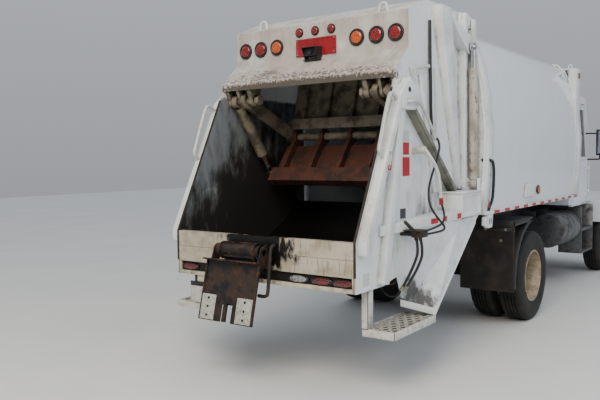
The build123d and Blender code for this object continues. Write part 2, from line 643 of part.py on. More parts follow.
def tailgate_frames():
    with BuildPart() as frames:
        side_pair(POST, TAIL_Y, TAIL_Y + 60)
        for s in (1, -1):
            slab(400, 1880, s * TAIL_Y, s * BODY_Y, RAIL_Z0 + 5, 1411)
            bar((1140, s * 1015, 3230), (1570, s * 1015, 1600), 110, 110)
            bar((740, s * 985, 2350), (1545, s * 985, 1450), 60, 50)
            slab(1790, 1975, s * TAIL_Y, s * BODY_Y, 1345, 1560)
            slab(1900, 1975, s * TAIL_Y, s * 1040, 1345, 3290)
            side_prism([(1500, 3210), (2040, 3060), (2040, 2900), (1950, 2900)],
                       TAIL_Y if s > 0 else -1063, 1063 if s > 0 else -TAIL_Y)
            side_prism([(1900, 3100), (1900, 3290), (HINGE_X - 20, 3290), (HINGE_X + 40, HINGE_Z + 30),
                        (HINGE_X + 40, HINGE_Z - 30), (HINGE_X - 40, HINGE_Z - 40)],
                       970 if s > 0 else -1000, 1000 if s > 0 else -970)
            cross_rod(HINGE_X, s * 965, s * 1005, HINGE_Z, 27, Mode.SUBTRACT)
            cross_rod(SWING_X, s * 640, s * (TAIL_Y - TAIL_WALL), SWING_Z, 38)
            for y in (650, 800):
                side_prism([(SWING_X - 40, SWING_Z - 20), (LIP_X + 15, LIP_TOP - 5),
                            (HEADER_X + 15, HEADER_LOW - 5), (SWING_X + 60, SWING_Z - 20)],
                           s * y, s * y + 14)
    frames.part.label = "tailgate_frames"
    export_step(frames.part, "parts/tailgate_frames.step")


def wing_plates():
    with BuildPart() as wings:
        for s in (1, -1):
            plan_prism([(480, s * 960), (930, s * 1180), (1800, s * 1188), (1800, s * BODY_Y),
                        (928, s * 1192), (480, s * 972)], 551, RAIL_Z0 + 5)
        side_prism([(930, 500), (1900, 500), (1900, 1290), (1790, 1290)], -1300, 1300, Mode.SUBTRACT)
        side_prism([(400, 500), (930, 500), (930, 560), (480, 850), (400, 850)], -1300, 1300, Mode.SUBTRACT)
    wings.part.label = "wing_plates"
    export_step(wings.part, "parts/wing_plates.step")


LAMPS = [(860, 2975, "red"), (650, 2975, "red"), (450, 2975, "amber"),
         (-450, 2975, "amber"), (-650, 2975, "red"), (-840, 2975, "red")]


def header_fittings():
    with BuildPart() as fittings:
        for y, z, _ in LAMPS:
            rod((HEADER_X, y, z), (HEADER_X - 12, y, z), 68)
        for y in (180, 0, -180):
            rod((HEADER_X, y, 3085), (HEADER_X - 8, y, 3085), 34)
        slab(HEADER_X - 90, HEADER_X, -80, 80, 2860, 2960)
    fittings.part.label = "header_fittings"
    export_step(fittings.part, "parts/header_fittings.step")


def red_lamps():
    with BuildPart() as lamps:
        for y, z, colour in LAMPS:
            if colour == "red":
                rod((HEADER_X - 12, y, z), (HEADER_X - 24, y, z), 51)
        for y in (180, 0, -180):
            rod((HEADER_X - 8, y, 3085), (HEADER_X - 18, y, 3085), 25)
        for y in (820, -390, -630, -830):
            slab(10, 30, y - 82, y + 82, 905, 955)
    lamps.part.label = "red_lamps"
    export_step(lamps.part, "parts/red_lamps.step")


def amber_lamps():
    with BuildPart() as lamps:
        for y, z, colour in LAMPS:
            if colour == "amber":
                rod((HEADER_X - 12, y, z), (HEADER_X - 24, y, z), 51)
    lamps.part.label = "amber_lamps"
    export_step(lamps.part, "parts/amber_lamps.step")


def grab_rails():
    with BuildPart() as rails:
        for s in (1, -1):
            y = s * 990
            pipe([(620, y, 2400), (430, y, 2400), (250, y, 2060), (430, y, 1960)], 16, 60)
            pipe([(850, s * 960, 2400), (850, s * 1045, 2400), (1010, s * 1045, 2330),
                  (1200, s * 1045, 2110), (1200, s * 960, 2110)], 16, 40)
        side_pair(POST, TAIL_Y, TAIL_Y + 60, Mode.SUBTRACT)
    rails.part.label = "grab_rails"
    export_step(rails.part, "parts/grab_rails.step")


def rear_steps():
    with BuildPart() as steps:
        for s in (1, -1):
            slab(207, 957, s * 883, s * 1179, 487, 551)
            slab(227, 937, s * 903, s * 1159, 486, 535, Mode.SUBTRACT)
            slab(207, 290, s * 942, s * 958, 540, SIDE_LOW)
    steps.part.label = "rear_steps"
    export_step(steps.part, "parts/rear_steps.step")


def lifter_mount():
    with BuildPart() as mount:
        for y in (LIFTER_Y - 190, LIFTER_Y + 176):
            side_prism([(0, 1195), (0, 985), (LIFTER_X, LIFTER_Z - 74), (LIFTER_X, LIFTER_Z + 65)],
                       y, y + 14)
            cross_rod(LIFTER_X, y, y + 14, LIFTER_Z, 74)
        slab(-12, 0, LIFTER_Y - 240, LIFTER_Y + 240, 985, 1195)
        cross_rod(LIFTER_X, LIFTER_Y - 230, LIFTER_Y + 230, LIFTER_Z, 58)
    mount.part.label = "lifter_mount"
    export_step(mount.part, "parts/lifter_mount.step")


def lifter_face():
    with BuildPart() as face:
        y0, y1 = LIFTER_Y - 290, LIFTER_Y + 290
        side_prism([(-150, 1060), (-165, 1060), (-290, 560), (-275, 560)], y0, y1)
        side_prism([(-150, 1060), (-230, 1075), (-232, 1063), (-165, 1045)], y0, y1)
        for y in (LIFTER_Y - 262, LIFTER_Y + 248):
            cross_rod(LIFTER_X, y, y + 14, LIFTER_Z, 52)
            side_prism([(LIFTER_X - 52, LIFTER_Z), (LIFTER_X + 40, LIFTER_Z - 30),
                        (LIFTER_X - 10, LIFTER_Z - 120), (-200, 900), (-160, 1050)], y, y + 14)
            cross_rod(LIFTER_X, y - 1, y + 15, LIFTER_Z, 30, Mode.SUBTRACT)
        slab(-300, -200, LIFTER_Y - 60, LIFTER_Y + 60, 540, 700, Mode.SUBTRACT)
    face.part.label = "lifter_face"
    export_step(face.part, "parts/lifter_face.step")


def packer_carrier():
    with BuildPart() as carrier:
        for s in (1, -1):
            bar((SWING_X, s * 735, SWING_Z), (BLADE_X, s * 735, BLADE_Z), 120, 50)
            cross_rod(SWING_X, s * 708, s * 762, SWING_Z, 75)
            cross_rod(SWING_X, s * 700, s * 770, SWING_Z, 44, Mode.SUBTRACT)
        slab(BLADE_X - 65, BLADE_X + 65, -760, 760, BLADE_Z + 82, BLADE_Z + 190)
        side_prism([(BLADE_X + 35, BLADE_Z + 185), (BLADE_X + 65, BLADE_Z + 185),
                    (BLADE_X + 165, BLADE_Z + 620), (BLADE_X + 135, BLADE_Z + 620)], -760, 760)
        for k in range(5):
            y = -600 + 300 * k
            side_prism([(BLADE_X - 40, BLADE_Z + 185), (BLADE_X + 40, BLADE_Z + 185),
                        (BLADE_X + 140, BLADE_Z + 610), (BLADE_X + 100, BLADE_Z + 610)], y - 15, y + 15)
        cross_rod(BLADE_X, -790, 790, BLADE_Z, 40)
    carrier.part.label = "packer_carrier"
    export_step(carrier.part, "parts/packer_carrier.step")


def packer_blade():
    ux, uz = -0.6, -0.8
    with BuildPart() as blade:
        for y in (-680, -340, 0, 340, 680):
            bar((BLADE_X, y, BLADE_Z), (BLADE_X + 440 * ux, y, BLADE_Z + 440 * uz), 90, 40)
            cross_rod(BLADE_X, y - 20, y + 20, BLADE_Z, 75)
        cross_rod(BLADE_X, -800, 800, BLADE_Z, 46, Mode.SUBTRACT)
        bar((BLADE_X + 100 * ux + 30, 0, BLADE_Z + 100 * uz - 22),
            (BLADE_X + 590 * ux + 30, 0, BLADE_Z + 590 * uz - 22), 20, 1600)
        bar((BLADE_X + 430 * ux, 0, BLADE_Z + 430 * uz), (BLADE_X + 590 * ux, 0, BLADE_Z + 590 * uz),
            90, 1600)
    blade.part.label = "packer_blade"
    export_step(blade.part, "parts/packer_blade.step")


def pack_dir():
    length = ((EYE_X - SWING_X) ** 2 + (EYE_Z - SWING_Z) ** 2) ** 0.5
    return (EYE_X - SWING_X) / length, (EYE_Z - SWING_Z) / length, length


def pack_barrels():
    ux, uz, length = pack_dir()
    with BuildPart() as barrels:
        for s in (1, -1):
            rod((SWING_X + 60 * ux, s * 860, SWING_Z + 60 * uz),
                (SWING_X + 640 * ux, s * 860, SWING_Z + 640 * uz), 55)
            cross_rod(SWING_X, s * 830, s * 890, SWING_Z, 62)
            cross_rod(SWING_X, s * 829, s * 891, SWING_Z, 44, Mode.SUBTRACT)
            rod((SWING_X + 100 * ux, s * 860, SWING_Z + 100 * uz),
                (SWING_X + 645 * ux, s * 860, SWING_Z + 645 * uz), 42, Mode.SUBTRACT)
    barrels.part.label = "pack_barrels"
    export_step(barrels.part, "parts/pack_barrels.step")


def pack_rods():
    ux, uz, length = pack_dir()
    with BuildPart() as rods:
        for s in (1, -1):
            rod((SWING_X + 470 * ux, s * 860, SWING_Z + 470 * uz),
                (SWING_X + (length - 30) * ux, s * 860, SWING_Z + (length - 30) * uz), 30)
            cross_rod(EYE_X, s * 835, s * 885, EYE_Z, 42)
            cross_rod(EYE_X, s * 808, s * 900, EYE_Z, 20)
    rods.part.label = "pack_rods"
    export_step(rods.part, "parts/pack_rods.step")


def lift_dir():
    dx = LIFT_TOP_X - LIFT_LOW_X
    dz = LIFT_TOP_Z - LIFT_LOW_Z
    length = (dx ** 2 + dz ** 2) ** 0.5
    return dx / length, dz / length, length


def lift_barrels():
    ux, uz, length = lift_dir()
    with BuildPart() as barrels:
        for s in (1, -1):
            rod((LIFT_LOW_X + 40 * ux, s * LIFT_Y, LIFT_LOW_Z + 40 * uz),
                (LIFT_LOW_X + 1120 * ux, s * LIFT_Y, LIFT_LOW_Z + 1120 * uz), 42)
            rod((LIFT_LOW_X + 90 * ux, s * LIFT_Y, LIFT_LOW_Z + 90 * uz),
                (LIFT_LOW_X + 1125 * ux, s * LIFT_Y, LIFT_LOW_Z + 1125 * uz), 33, Mode.SUBTRACT)
            cross_rod(LIFT_LOW_X, s * (LIFT_Y - 38), s * (LIFT_Y + 38), LIFT_LOW_Z, 45)
            cross_rod(LIFT_LOW_X, s * (LIFT_Y - 43), s * (LIFT_Y + 43), LIFT_LOW_Z, 26, Mode.SUBTRACT)
    barrels.part.label = "lift_barrels"
    export_step(barrels.part, "parts/lift_barrels.step")


def lift_rods():
    ux, uz, length = lift_dir()
    with BuildPart() as rods:
        for s in (1, -1):
            rod((LIFT_LOW_X + 620 * ux, s * LIFT_Y, LIFT_LOW_Z + 620 * uz),
                (LIFT_LOW_X + (length - 30) * ux, s * LIFT_Y, LIFT_LOW_Z + (length - 30) * uz), 25)
            cross_rod(LIFT_TOP_X, s * (LIFT_Y - 18), s * (LIFT_Y + 18), LIFT_TOP_Z, 42)
            cross_rod(LIFT_TOP_X, s * (LIFT_Y - 21), s * (LIFT_Y + 30), LIFT_TOP_Z, 20)
    rods.part.label = "lift_rods"
    export_step(rods.part, "parts/lift_rods.step")


def hydraulic_lines():
    with BuildPart() as lines:
        pipe([(1010, -985, 2830), (1130, -1050, 2400), (1180, -1090, 2050)], 9, 60)
        rod((975, -960, 1960), (975, -1090, 1960), 32)
        rod((800, -960, 2640), (800, -1000, 2640), 12)
    lines.part.label = "hydraulic_lines"
    export_step(lines.part, "parts/hydraulic_lines.step")


def hydraulic_hoses():
    with BuildPart() as hoses:
        pipe([(1180, -1090, 2000), (1180, -1130, 1700), (1330, -1240, 1400), (900, -1240, 1230),
              (700, -1100, 1230), (500, -1020, 900)], 11, 60)
    hoses.part.label = "hydraulic_hoses"
    export_step(hoses.part, "parts/hydraulic_hoses.step")


def main():
    chassis_frame()
    frame_crossmembers()
    rear_axle()
    front_axle()
    knuckle(1, "knuckle_left")
    knuckle(-1, "knuckle_right")
    engine_block()
    fuel_tanks()
    rear_fenders()
    tyre("tyres_rear_left", REAR_AXLE, (REAR_INNER_Y, REAR_OUTER_Y))
    tyre("tyres_rear_right", REAR_AXLE, (-REAR_INNER_Y, -REAR_OUTER_Y))
    tyre("tyre_front_left", FRONT_AXLE, (FRONT_WHEEL_Y,))
    tyre("tyre_front_right", FRONT_AXLE, (-FRONT_WHEEL_Y,))
    rear_rim(1, "rims_rear_left")
    rear_rim(-1, "rims_rear_right")
    front_rim(1, "rim_front_left")
    front_rim(-1, "rim_front_right")
    cab_shell()
    cab_glass()
    cab_interior()
    cab_door(1, "door_left")
    cab_door(-1, "door_right")
    door_glass(1, "door_glass_left")
    door_glass(-1, "door_glass_right")
    mirror(1, "mirror_left")
    mirror(-1, "mirror_right")
    hood()
    grille()
    headlamps()
    front_bumper()
    body_shell()
    body_frames()
    body_sills()
    side_lamps()
    ejector_panel()
    tailgate_shell()
    hopper_trough()
    tailgate_frames()
    wing_plates()
    header_fittings()
    red_lamps()
    amber_lamps()
    grab_rails()
    rear_steps()
    lifter_mount()
    lifter_face()
    packer_carrier()
    packer_blade()
    pack_barrels()
    pack_rods()
    lift_barrels()
    lift_rods()
    hydraulic_lines()
    hydraulic_hoses()


main()
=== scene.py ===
import json
import math

import bmesh
import bpy
from bpy.props import FloatProperty, FloatVectorProperty, PointerProperty
from mathutils import Matrix, Vector

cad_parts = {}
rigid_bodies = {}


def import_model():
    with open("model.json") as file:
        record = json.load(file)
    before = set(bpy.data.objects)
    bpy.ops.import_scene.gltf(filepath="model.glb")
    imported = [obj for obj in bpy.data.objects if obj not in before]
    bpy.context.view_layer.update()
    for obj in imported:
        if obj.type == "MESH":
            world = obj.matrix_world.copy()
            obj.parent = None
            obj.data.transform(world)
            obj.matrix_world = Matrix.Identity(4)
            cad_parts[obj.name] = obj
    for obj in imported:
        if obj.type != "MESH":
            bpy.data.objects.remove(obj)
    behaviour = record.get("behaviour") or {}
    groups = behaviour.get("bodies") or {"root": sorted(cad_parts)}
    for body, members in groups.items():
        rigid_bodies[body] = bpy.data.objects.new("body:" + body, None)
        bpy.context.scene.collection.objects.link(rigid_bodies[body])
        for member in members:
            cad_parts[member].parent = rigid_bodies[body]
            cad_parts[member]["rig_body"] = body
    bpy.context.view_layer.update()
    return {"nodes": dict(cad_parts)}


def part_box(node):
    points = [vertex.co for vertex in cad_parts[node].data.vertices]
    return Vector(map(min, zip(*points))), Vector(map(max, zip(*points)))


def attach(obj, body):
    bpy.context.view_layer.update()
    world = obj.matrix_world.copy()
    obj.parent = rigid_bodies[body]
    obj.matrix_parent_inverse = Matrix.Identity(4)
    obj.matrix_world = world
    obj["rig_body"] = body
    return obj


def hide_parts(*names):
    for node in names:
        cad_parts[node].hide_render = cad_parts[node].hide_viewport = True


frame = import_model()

bl_info = {
    "name": "Refuse truck finishes",
    "version": (1, 0, 0),
    "blender": (4, 5, 0),
    "location": "View3D > Sidebar > Refuse Truck",
    "description": "Finishes, small fittings and studio for a rear-loading refuse truck",
    "category": "Object",
}

# The rear face of the loading sill. Stations are measured forward from it, in metres.
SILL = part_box("hopper_trough")[0].x


def at(x, y, z):
    """A point given by its station, its distance to the left and its height, in metres."""
    return Vector((SILL + x, y, z))


def linear(code):
    """An sRGB hex colour as the linear RGBA that a shader takes; a linear colour is kept."""
    if not isinstance(code, str):
        return list(code)
    parts = [int(code[i:i + 2], 16) / 255 for i in (1, 3, 5)]
    return [p / 12.92 if p <= 0.04045 else ((p + 0.055) / 1.055) ** 2.4 for p in parts] + [1.0]


def add(tree, kind, links=None, **settings):
    """Adds one shader node; links gives its inputs plain values or other nodes' outputs."""
    made = tree.nodes.new(kind)
    for name, value in settings.items():
        setattr(made, name, value)
    for socket, value in (links or {}).items():
        if isinstance(value, bpy.types.NodeSocket):
            tree.links.new(value, made.inputs[socket])
        else:
            made.inputs[socket].default_value = value
    return made


def sum_of(tree, terms):
    """The sum of (socket, weight) terms."""
    total = None
    for socket, weight in terms:
        start = total if total is not None else 0.0
        step = add(tree, "ShaderNodeMath", {0: socket, 1: weight, 2: start}, operation="MULTIPLY_ADD")
        total = step.outputs[0]
    return total


def zone(tree, kind, values):
    """A number from 0 to 1 that says how far a point lies in a zone of the truck.

    near: a centre and three radii. along: an axis, where it starts and where it is full.
    facing: a direction. edges: a radius. corners: a reach, within which ambient occlusion finds the creases
    where shade falls; a dark layer under it is painted shade.
    """
    coords = add(tree, "ShaderNodeTexCoord")
    if kind == "near":
        centre, radii = at(*values[:3]), values[3:]
        away = add(tree, "ShaderNodeVectorMath", {0: coords.outputs["Object"], 1: centre},
                   operation="SUBTRACT")
        share = add(tree, "ShaderNodeVectorMath", {0: away.outputs[0], 1: radii}, operation="DIVIDE")
        length = add(tree, "ShaderNodeVectorMath", {0: share.outputs[0]}, operation="LENGTH")
        return add(tree, "ShaderNodeMapRange", {0: length.outputs[1], 1: 1.0, 2: 0.0}).outputs[0]
    if kind == "along":
        axis, start, full = values
        parts = add(tree, "ShaderNodeSeparateXYZ", {0: coords.outputs["Object"]})
        shift = SILL if axis == 0 else 0.0
        ramp = {0: parts.outputs[axis], 1: start + shift, 2: full + shift}
        return add(tree, "ShaderNodeMapRange", ramp).outputs[0]
    if kind == "facing":
        dot = add(tree, "ShaderNodeVectorMath", {0: coords.outputs["Normal"], 1: values},
                  operation="DOT_PRODUCT")
        return add(tree, "ShaderNodeMapRange", {0: dot.outputs[1], 1: 0.2, 2: 0.9}).outputs[0]
    if kind == "edges":
        soft = add(tree, "ShaderNodeBevel", {0: values}, samples=4)
        shape = add(tree, "ShaderNodeNewGeometry")
        dot = add(tree, "ShaderNodeVectorMath", {0: soft.outputs[0], 1: shape.outputs["Normal"]},
                  operation="DOT_PRODUCT")
        return add(tree, "ShaderNodeMapRange", {0: dot.outputs[1], 1: 0.995, 2: 0.8}).outputs[0]
    # corners: ambient occlusion, so a dark layer under this mask paints shade into the creases.
    shade = add(tree, "ShaderNodeAmbientOcclusion", {1: values}, samples=4)
    return add(tree, "ShaderNodeMapRange", {0: shade.outputs[1], 1: 0.85, 2: 0.35}).outputs[0]


def pattern(tree, size, stretch=(1, 1, 1), detail=4.0, shift=0.0):
    """Cloudy noise whose patches are about size metres across, longer where stretch is more than 1."""
    coords = add(tree, "ShaderNodeTexCoord")
    scale = [1 / (size * s) for s in stretch]
    place = add(tree, "ShaderNodeMapping", {1: (shift, shift, shift), 3: scale})
    tree.links.new(coords.outputs["Object"], place.inputs[0])
    return add(tree, "ShaderNodeTexNoise", {0: place.outputs[0], "Scale": 1.0, "Detail": detail,
                                            "Roughness": 0.62}).outputs[0]


def layer_mask(tree, size, low, high, stretch=(1, 1, 1), detail=4.0, shift=0.0, amount=1.0, zones=()):
    """Where a layer shows: noise plus weighted zones, cut between low and high."""
    terms = [(pattern(tree, size, stretch, detail, shift), 1.0)]
    terms += [(zone(tree, kind, values), weight) for kind, values, weight in zones]
    return add(tree, "ShaderNodeMapRange", {0: sum_of(tree, terms), 1: low, 2: high, 4: amount},
               interpolation_type="SMOOTHSTEP").outputs[0]


def finish(name, base, rough, metal=0.0, ior=1.5, layers=(), bumps=(), coat=0.0, see_through=0.0, glow=0.0):
    """A material of one base and the layers that lie on it, given from the lowest to the highest.

    A layer is (hex, roughness, settings of layer_mask). A bump is (size, height, stretch).
    """
    made = bpy.data.materials.new(name)
    made.use_nodes = True
    tree = made.node_tree
    tree.nodes.clear()
    colour, gloss = linear(base), rough
    for code, layer_rough, settings in layers:
        mask = layer_mask(tree, **settings)
        mixed = add(tree, "ShaderNodeMix", {0: mask, 6: colour, 7: linear(code)}, data_type="RGBA")
        colour = mixed.outputs[2]
        if layer_rough is not None:
            gloss = add(tree, "ShaderNodeMix", {0: mask, 2: gloss, 3: layer_rough}).outputs[0]
    shader = add(tree, "ShaderNodeBsdfPrincipled", {
        "Base Color": colour, "Roughness": gloss, "Metallic": metal, "IOR": ior, "Coat Weight": coat,
        "Coat Roughness": 0.06, "Transmission Weight": see_through})
    if glow:
        tree.links.new(colour, shader.inputs["Emission Color"])
        shader.inputs["Emission Strength"].default_value = glow
    normal = None
    for size, height, stretch in bumps:
        wave = pattern(tree, size, stretch, 3.0, 7.0)
        links = {"Height": wave, "Distance": height, "Strength": 1.0}
        if normal is not None:
            links["Normal"] = normal
        normal = add(tree, "ShaderNodeBump", links).outputs[0]
    if normal is not None:
        tree.links.new(normal, shader.inputs["Normal"])
    out = add(tree, "ShaderNodeOutputMaterial")
    tree.links.new(shader.outputs[0], out.inputs[0])
    return made


DUST = "#8d8577"
# Soot and grease are real stains; the same blacks also paint the shade in corners and recesses.
SOOT_AND_SHADE = "#16130f"
GREASE_AND_SHADE = "#0b0a09"
RUST = "#5a2c15"


def looks():
    """The colours and sizes that the user chose."""
    return bpy.context.scene.truck_looks


def edge_rust(size, reach, low, high):
    """A layer of rust that starts within reach of an edge, in patches of about size metres."""
    return RUST, 0.85, dict(size=size, low=low, high=high, zones=[("edges", reach, 0.42)], shift=5.0)


def grease_spots(size, low):
    """A layer of thrown grease spots of about size metres, more of them where low is less."""
    return GREASE_AND_SHADE, 0.6, dict(size=size, low=low, high=0.8, shift=9.0)


def body_enamel():
    # White polyurethane enamel sprayed on sheet steel: a deep gloss that mirrors the sky, with slight
    # waves where the sheet is pulled to its frames and faint washed-down runs.
    return finish("enamel_white_body", looks().body_white, 0.12, coat=0.7, layers=[
        ("#b6babb", 0.22, dict(size=0.05, stretch=(1, 1, 14), low=0.58, high=0.8, amount=0.35)),
        (DUST, 0.6, dict(size=0.5, low=0.95, high=1.35, amount=0.6, zones=[
            ("along", (2, 1.75, 1.35), 0.45)])),
        (SOOT_AND_SHADE, 0.7, dict(size=0.012, low=0.74, high=0.78, shift=3.0)),
    ], bumps=[(0.55, 0.006, (1, 1, 1.6)), (0.0008, 0.00002, (1, 1, 1))])


def frame_enamel():
    # The same enamel on folded channels and plates: flatter gloss, grime and painted shade in the corners,
    # chipped edges that have rusted and run.
    return finish("enamel_white_frames", "#d5d8d8", 0.33, layers=[
        ("#a9a8a2", 0.55, dict(size=0.35, low=0.42, high=0.72, amount=0.55)),
        (DUST, 0.7, dict(size=0.06, stretch=(1, 1, 9), low=0.56, high=0.78, amount=0.6)),
        (SOOT_AND_SHADE, 0.8, dict(size=0.09, low=0.86, high=1.15, amount=0.85, zones=[("corners", 0.08, 0.5)])),
        edge_rust(0.022, 0.006, 0.98, 1.08),
        grease_spots(0.014, 0.75),
    ], bumps=[(0.3, 0.003, (1, 1, 1)), (0.004, 0.00015, (1, 1, 1))])


def tailgate_enamel():
    # Enamel on the hopper: clean blue-white on the sides, warm grey on what faces the rear from road film and
    # painted shade, scoured grey inside, black deeper in towards the bottom and the front, dark at the low
    # rear corners, with black spatter along the lip.
    inside = ("along", (1, 0.95, 0.945), 0.5)
    inside_right = ("along", (1, -0.95, -0.945), 0.5)
    above_lip = ("along", (2, 2.50, 2.60), -0.9)
    return finish("enamel_white_hopper", "#d3d6d6", 0.34, layers=[
        # Warm grey on what faces the rear: road film, with the shade of the rear faces painted in.
        ("#a59c90", 0.6, dict(size=0.3, low=0.62, high=1.15, amount=0.85, zones=[
            ("facing", (-0.9, 0, 0.44), 0.55)])),
        ("#8b8a86", 0.6, dict(size=0.05, stretch=(1, 1, 8), low=0.6, high=0.8, amount=0.45)),
        ("#6d7377", 0.5, dict(size=0.22, low=1.15, high=1.4, amount=0.95,
                              zones=[inside, inside_right, above_lip])),
        ("#2b2a28", 0.7, dict(size=0.045, stretch=(1.4, 1, 5), low=1.42, high=1.95, amount=0.85, detail=7.0,
                              zones=[inside, inside_right, above_lip])),
        # Black deeper inside, growing towards the bottom and the front of the hopper.
        (SOOT_AND_SHADE, 0.75, dict(size=0.12, stretch=(1, 1, 2.5), low=1.65, high=2.1,
                          zones=[inside, inside_right, above_lip, ("along", (2, 2.3, 1.35), 0.55),
                                 ("along", (0, 0.35, 1.1), 0.35)])),
        ("#33291f", 0.8, dict(size=0.024, low=0.84, high=1.02, amount=0.9, detail=6.0, zones=[
            ("near", (0.65, 0.0, 2.585, 0.12, 3.0, 0.085), 0.80)])),
        ("#4a3e32", 0.8, dict(size=0.020, stretch=(1, 1.6, 1), low=0.76, high=0.90, amount=0.85, zones=[
            ("near", (0.70, 0.0, 2.65, 0.18, 3.5, 0.12), 0.42)], shift=6.0, detail=7.0)),
        ("#4a3e32", 0.8, dict(size=0.050, stretch=(1, 1.8, 1), low=0.72, high=0.98, amount=0.7, zones=[
            ("near", (0.72, 0.50, 2.72, 0.25, 0.60, 0.18), 0.42)], shift=1.0, detail=7.0)),
        # Dust runs near the top, heavier on what faces the rear, where they also paint shade.
        ("#6c6255", 0.7, dict(size=0.12, stretch=(1, 1, 3), low=0.86, high=1.2, amount=0.4, zones=[
            ("along", (2, 2.55, 2.70), 0.22), ("facing", (-0.9, 0, 0.44), 0.28)], shift=8.0, detail=7.0)),
        # Dark patches at the hopper's low rear corners, by the ends of the lamp ledge.
        (SOOT_AND_SHADE, 0.8, dict(size=0.05, low=0.98, high=1.1, zones=[
            ("near", (0.2, -0.96, 0.86, 0.5, 0.2, 0.22), 0.45),
            ("near", (0.2, 0.96, 0.86, 0.5, 0.2, 0.22), 0.45)])),
        edge_rust(0.03, 0.006, 0.98, 1.08),
        grease_spots(0.016, 0.76),
    ], bumps=[(0.35, 0.004, (1, 1, 1)), (0.005, 0.0002, (1, 1, 1))])


def scoured_plate():
    # Abrasion-resistant plate in the hopper floor: dark, polished by rubbish in places, black with
    # grease in the low parts, with a rubbed and streaked cream paint left on the sill.
    sill = ("along", (0, 0.062, 0.058), 0.9)
    return finish("steel_scoured_plate", "#3a3531", 0.55, metal=0.3, layers=[
        (RUST, 0.8, dict(size=0.12, low=0.5, high=0.66, amount=0.7)),
        (GREASE_AND_SHADE, 0.35, dict(size=0.3, low=0.42, high=0.6)),
        ("#bdb5a3", 0.5, dict(size=0.12, low=1.1, high=1.25, zones=[sill])),
        ("#8d8069", 0.6, dict(size=0.25, stretch=(1, 1, 0.6), low=1.30, high=1.6, amount=0.7,
                              zones=[sill], shift=2.0)),
        ("#5f5342", 0.65, dict(size=0.016, stretch=(1, 1, 9), low=1.42, high=1.66, amount=0.75,
                               zones=[sill])),
        (SOOT_AND_SHADE, 0.7, dict(size=0.03, low=1.02, high=1.14, detail=6.0, zones=[
            ("near", (0.0, 0.0, 1.118, 0.2, 4.0, 0.02), 0.5)])),
        (SOOT_AND_SHADE, 0.7, dict(size=0.02, low=1.06, high=1.16, detail=6.0, zones=[
            ("near", (0.0, 0.0, 1.262, 0.2, 4.0, 0.03), 0.6)])),
        (GREASE_AND_SHADE, 0.4, dict(size=0.07, stretch=(1, 1, 2), low=0.80, high=0.98, zones=[
            ("near", (0.0, 0.02, 1.15, 0.2, 0.58, 0.36), 1.0), ("along", (0, 0.07, 0.12), 0.7)])),
        (SOOT_AND_SHADE, 0.6, dict(size=0.1, low=0.9, high=1.0, zones=[("along", (2, 0.985, 0.975), 0.9)])),
        edge_rust(0.03, 0.006, 0.98, 1.08),
    ], bumps=[(0.15, 0.002, (1, 1, 1)), (0.006, 0.0003, (1, 1, 1))])


def rusted_steel():
    # Mild steel with its paint long gone: dark rust, orange along the edges, under patches of black grease.
    return finish("steel_rusted", "#2a1c15", 0.75, metal=0.1, layers=[
        ("#55301a", 0.85, dict(size=0.05, low=0.52, high=0.72, amount=0.75)),
        ("#9a5622", 0.85, dict(size=0.02, low=0.96, high=1.12, zones=[("edges", 0.012, 0.5)])),
        (GREASE_AND_SHADE, 0.45, dict(size=0.14, low=0.42, high=0.6, shift=2.0)),
    ], bumps=[(0.012, 0.0006, (1, 1, 1))])


def packer_paint():
    # Packer steel: rubbed tan-grey under dried refuse, black with grease and painted shade in the corners.
    return finish("steel_packer_worn", "#7b7261", 0.6, metal=0.1, layers=[
        ("#4a4238", 0.7, dict(size=0.15, low=0.42, high=0.65)),
        ("#a59c88", 0.5, dict(size=0.03, low=0.98, high=1.12, zones=[("edges", 0.01, 0.45)])),
        (GREASE_AND_SHADE, 0.6, dict(size=0.09, low=0.8, high=1.0, zones=[("corners", 0.15, 0.4)])),
    ], bumps=[(0.01, 0.0005, (1, 1, 1))])


def blade_steel():
    # The blade's plates: red-brown rust that is kept dull by wet refuse, black with grease and painted shade
    # in the corners.
    return finish("steel_blade_rust", "#46251a", 0.7, metal=0.1, layers=[
        ("#2a1a14", 0.7, dict(size=0.2, low=0.45, high=0.65)),
        ("#6b3a24", 0.75, dict(size=0.04, low=0.55, high=0.75, amount=0.7)),
        (GREASE_AND_SHADE, 0.5, dict(size=0.1, low=0.82, high=1.0, zones=[("corners", 0.15, 0.4)])),
    ], bumps=[(0.012, 0.0006, (1, 1, 1))])


def chassis_paint():
    # Black chassis paint rolled and sprayed on hot-rolled rails, under dry road dust.
    return finish("paint_chassis_black", "#15161a", 0.45, layers=[
        ("#4a443b", 0.8, dict(size=0.2, low=0.45, high=0.75, amount=0.55)),
        ("#6a6154", 0.85, dict(size=0.05, low=0.85, high=1.2, amount=0.6, zones=[
            ("facing", (0, 0, 1), 0.5)])),
        edge_rust(0.03, 0.005, 0.98, 1.08),
    ], bumps=[(0.006, 0.0003, (1, 1, 1))])


def cast_iron():
    # Sand-cast iron: grainy, oily black with brown dust in the low parts.
    return finish("iron_sand_cast", "#241f1b", 0.7, metal=0.2, layers=[
        ("#4b3b2c", 0.85, dict(size=0.08, low=0.48, high=0.72, amount=0.7)),
        (GREASE_AND_SHADE, 0.4, dict(size=0.15, low=0.52, high=0.66)),
    ], bumps=[(0.004, 0.0006, (1, 1, 1))])


def tank_metal():
    # Rolled aluminium, dulled by road film.
    return finish("aluminium_rolled_dull", "#6d6e70", 0.42, metal=0.85, layers=[
        ("#3b3833", 0.75, dict(size=0.12, low=0.42, high=0.68, amount=0.75)),
    ], bumps=[(0.02, 0.0003, (1, 1, 1))])


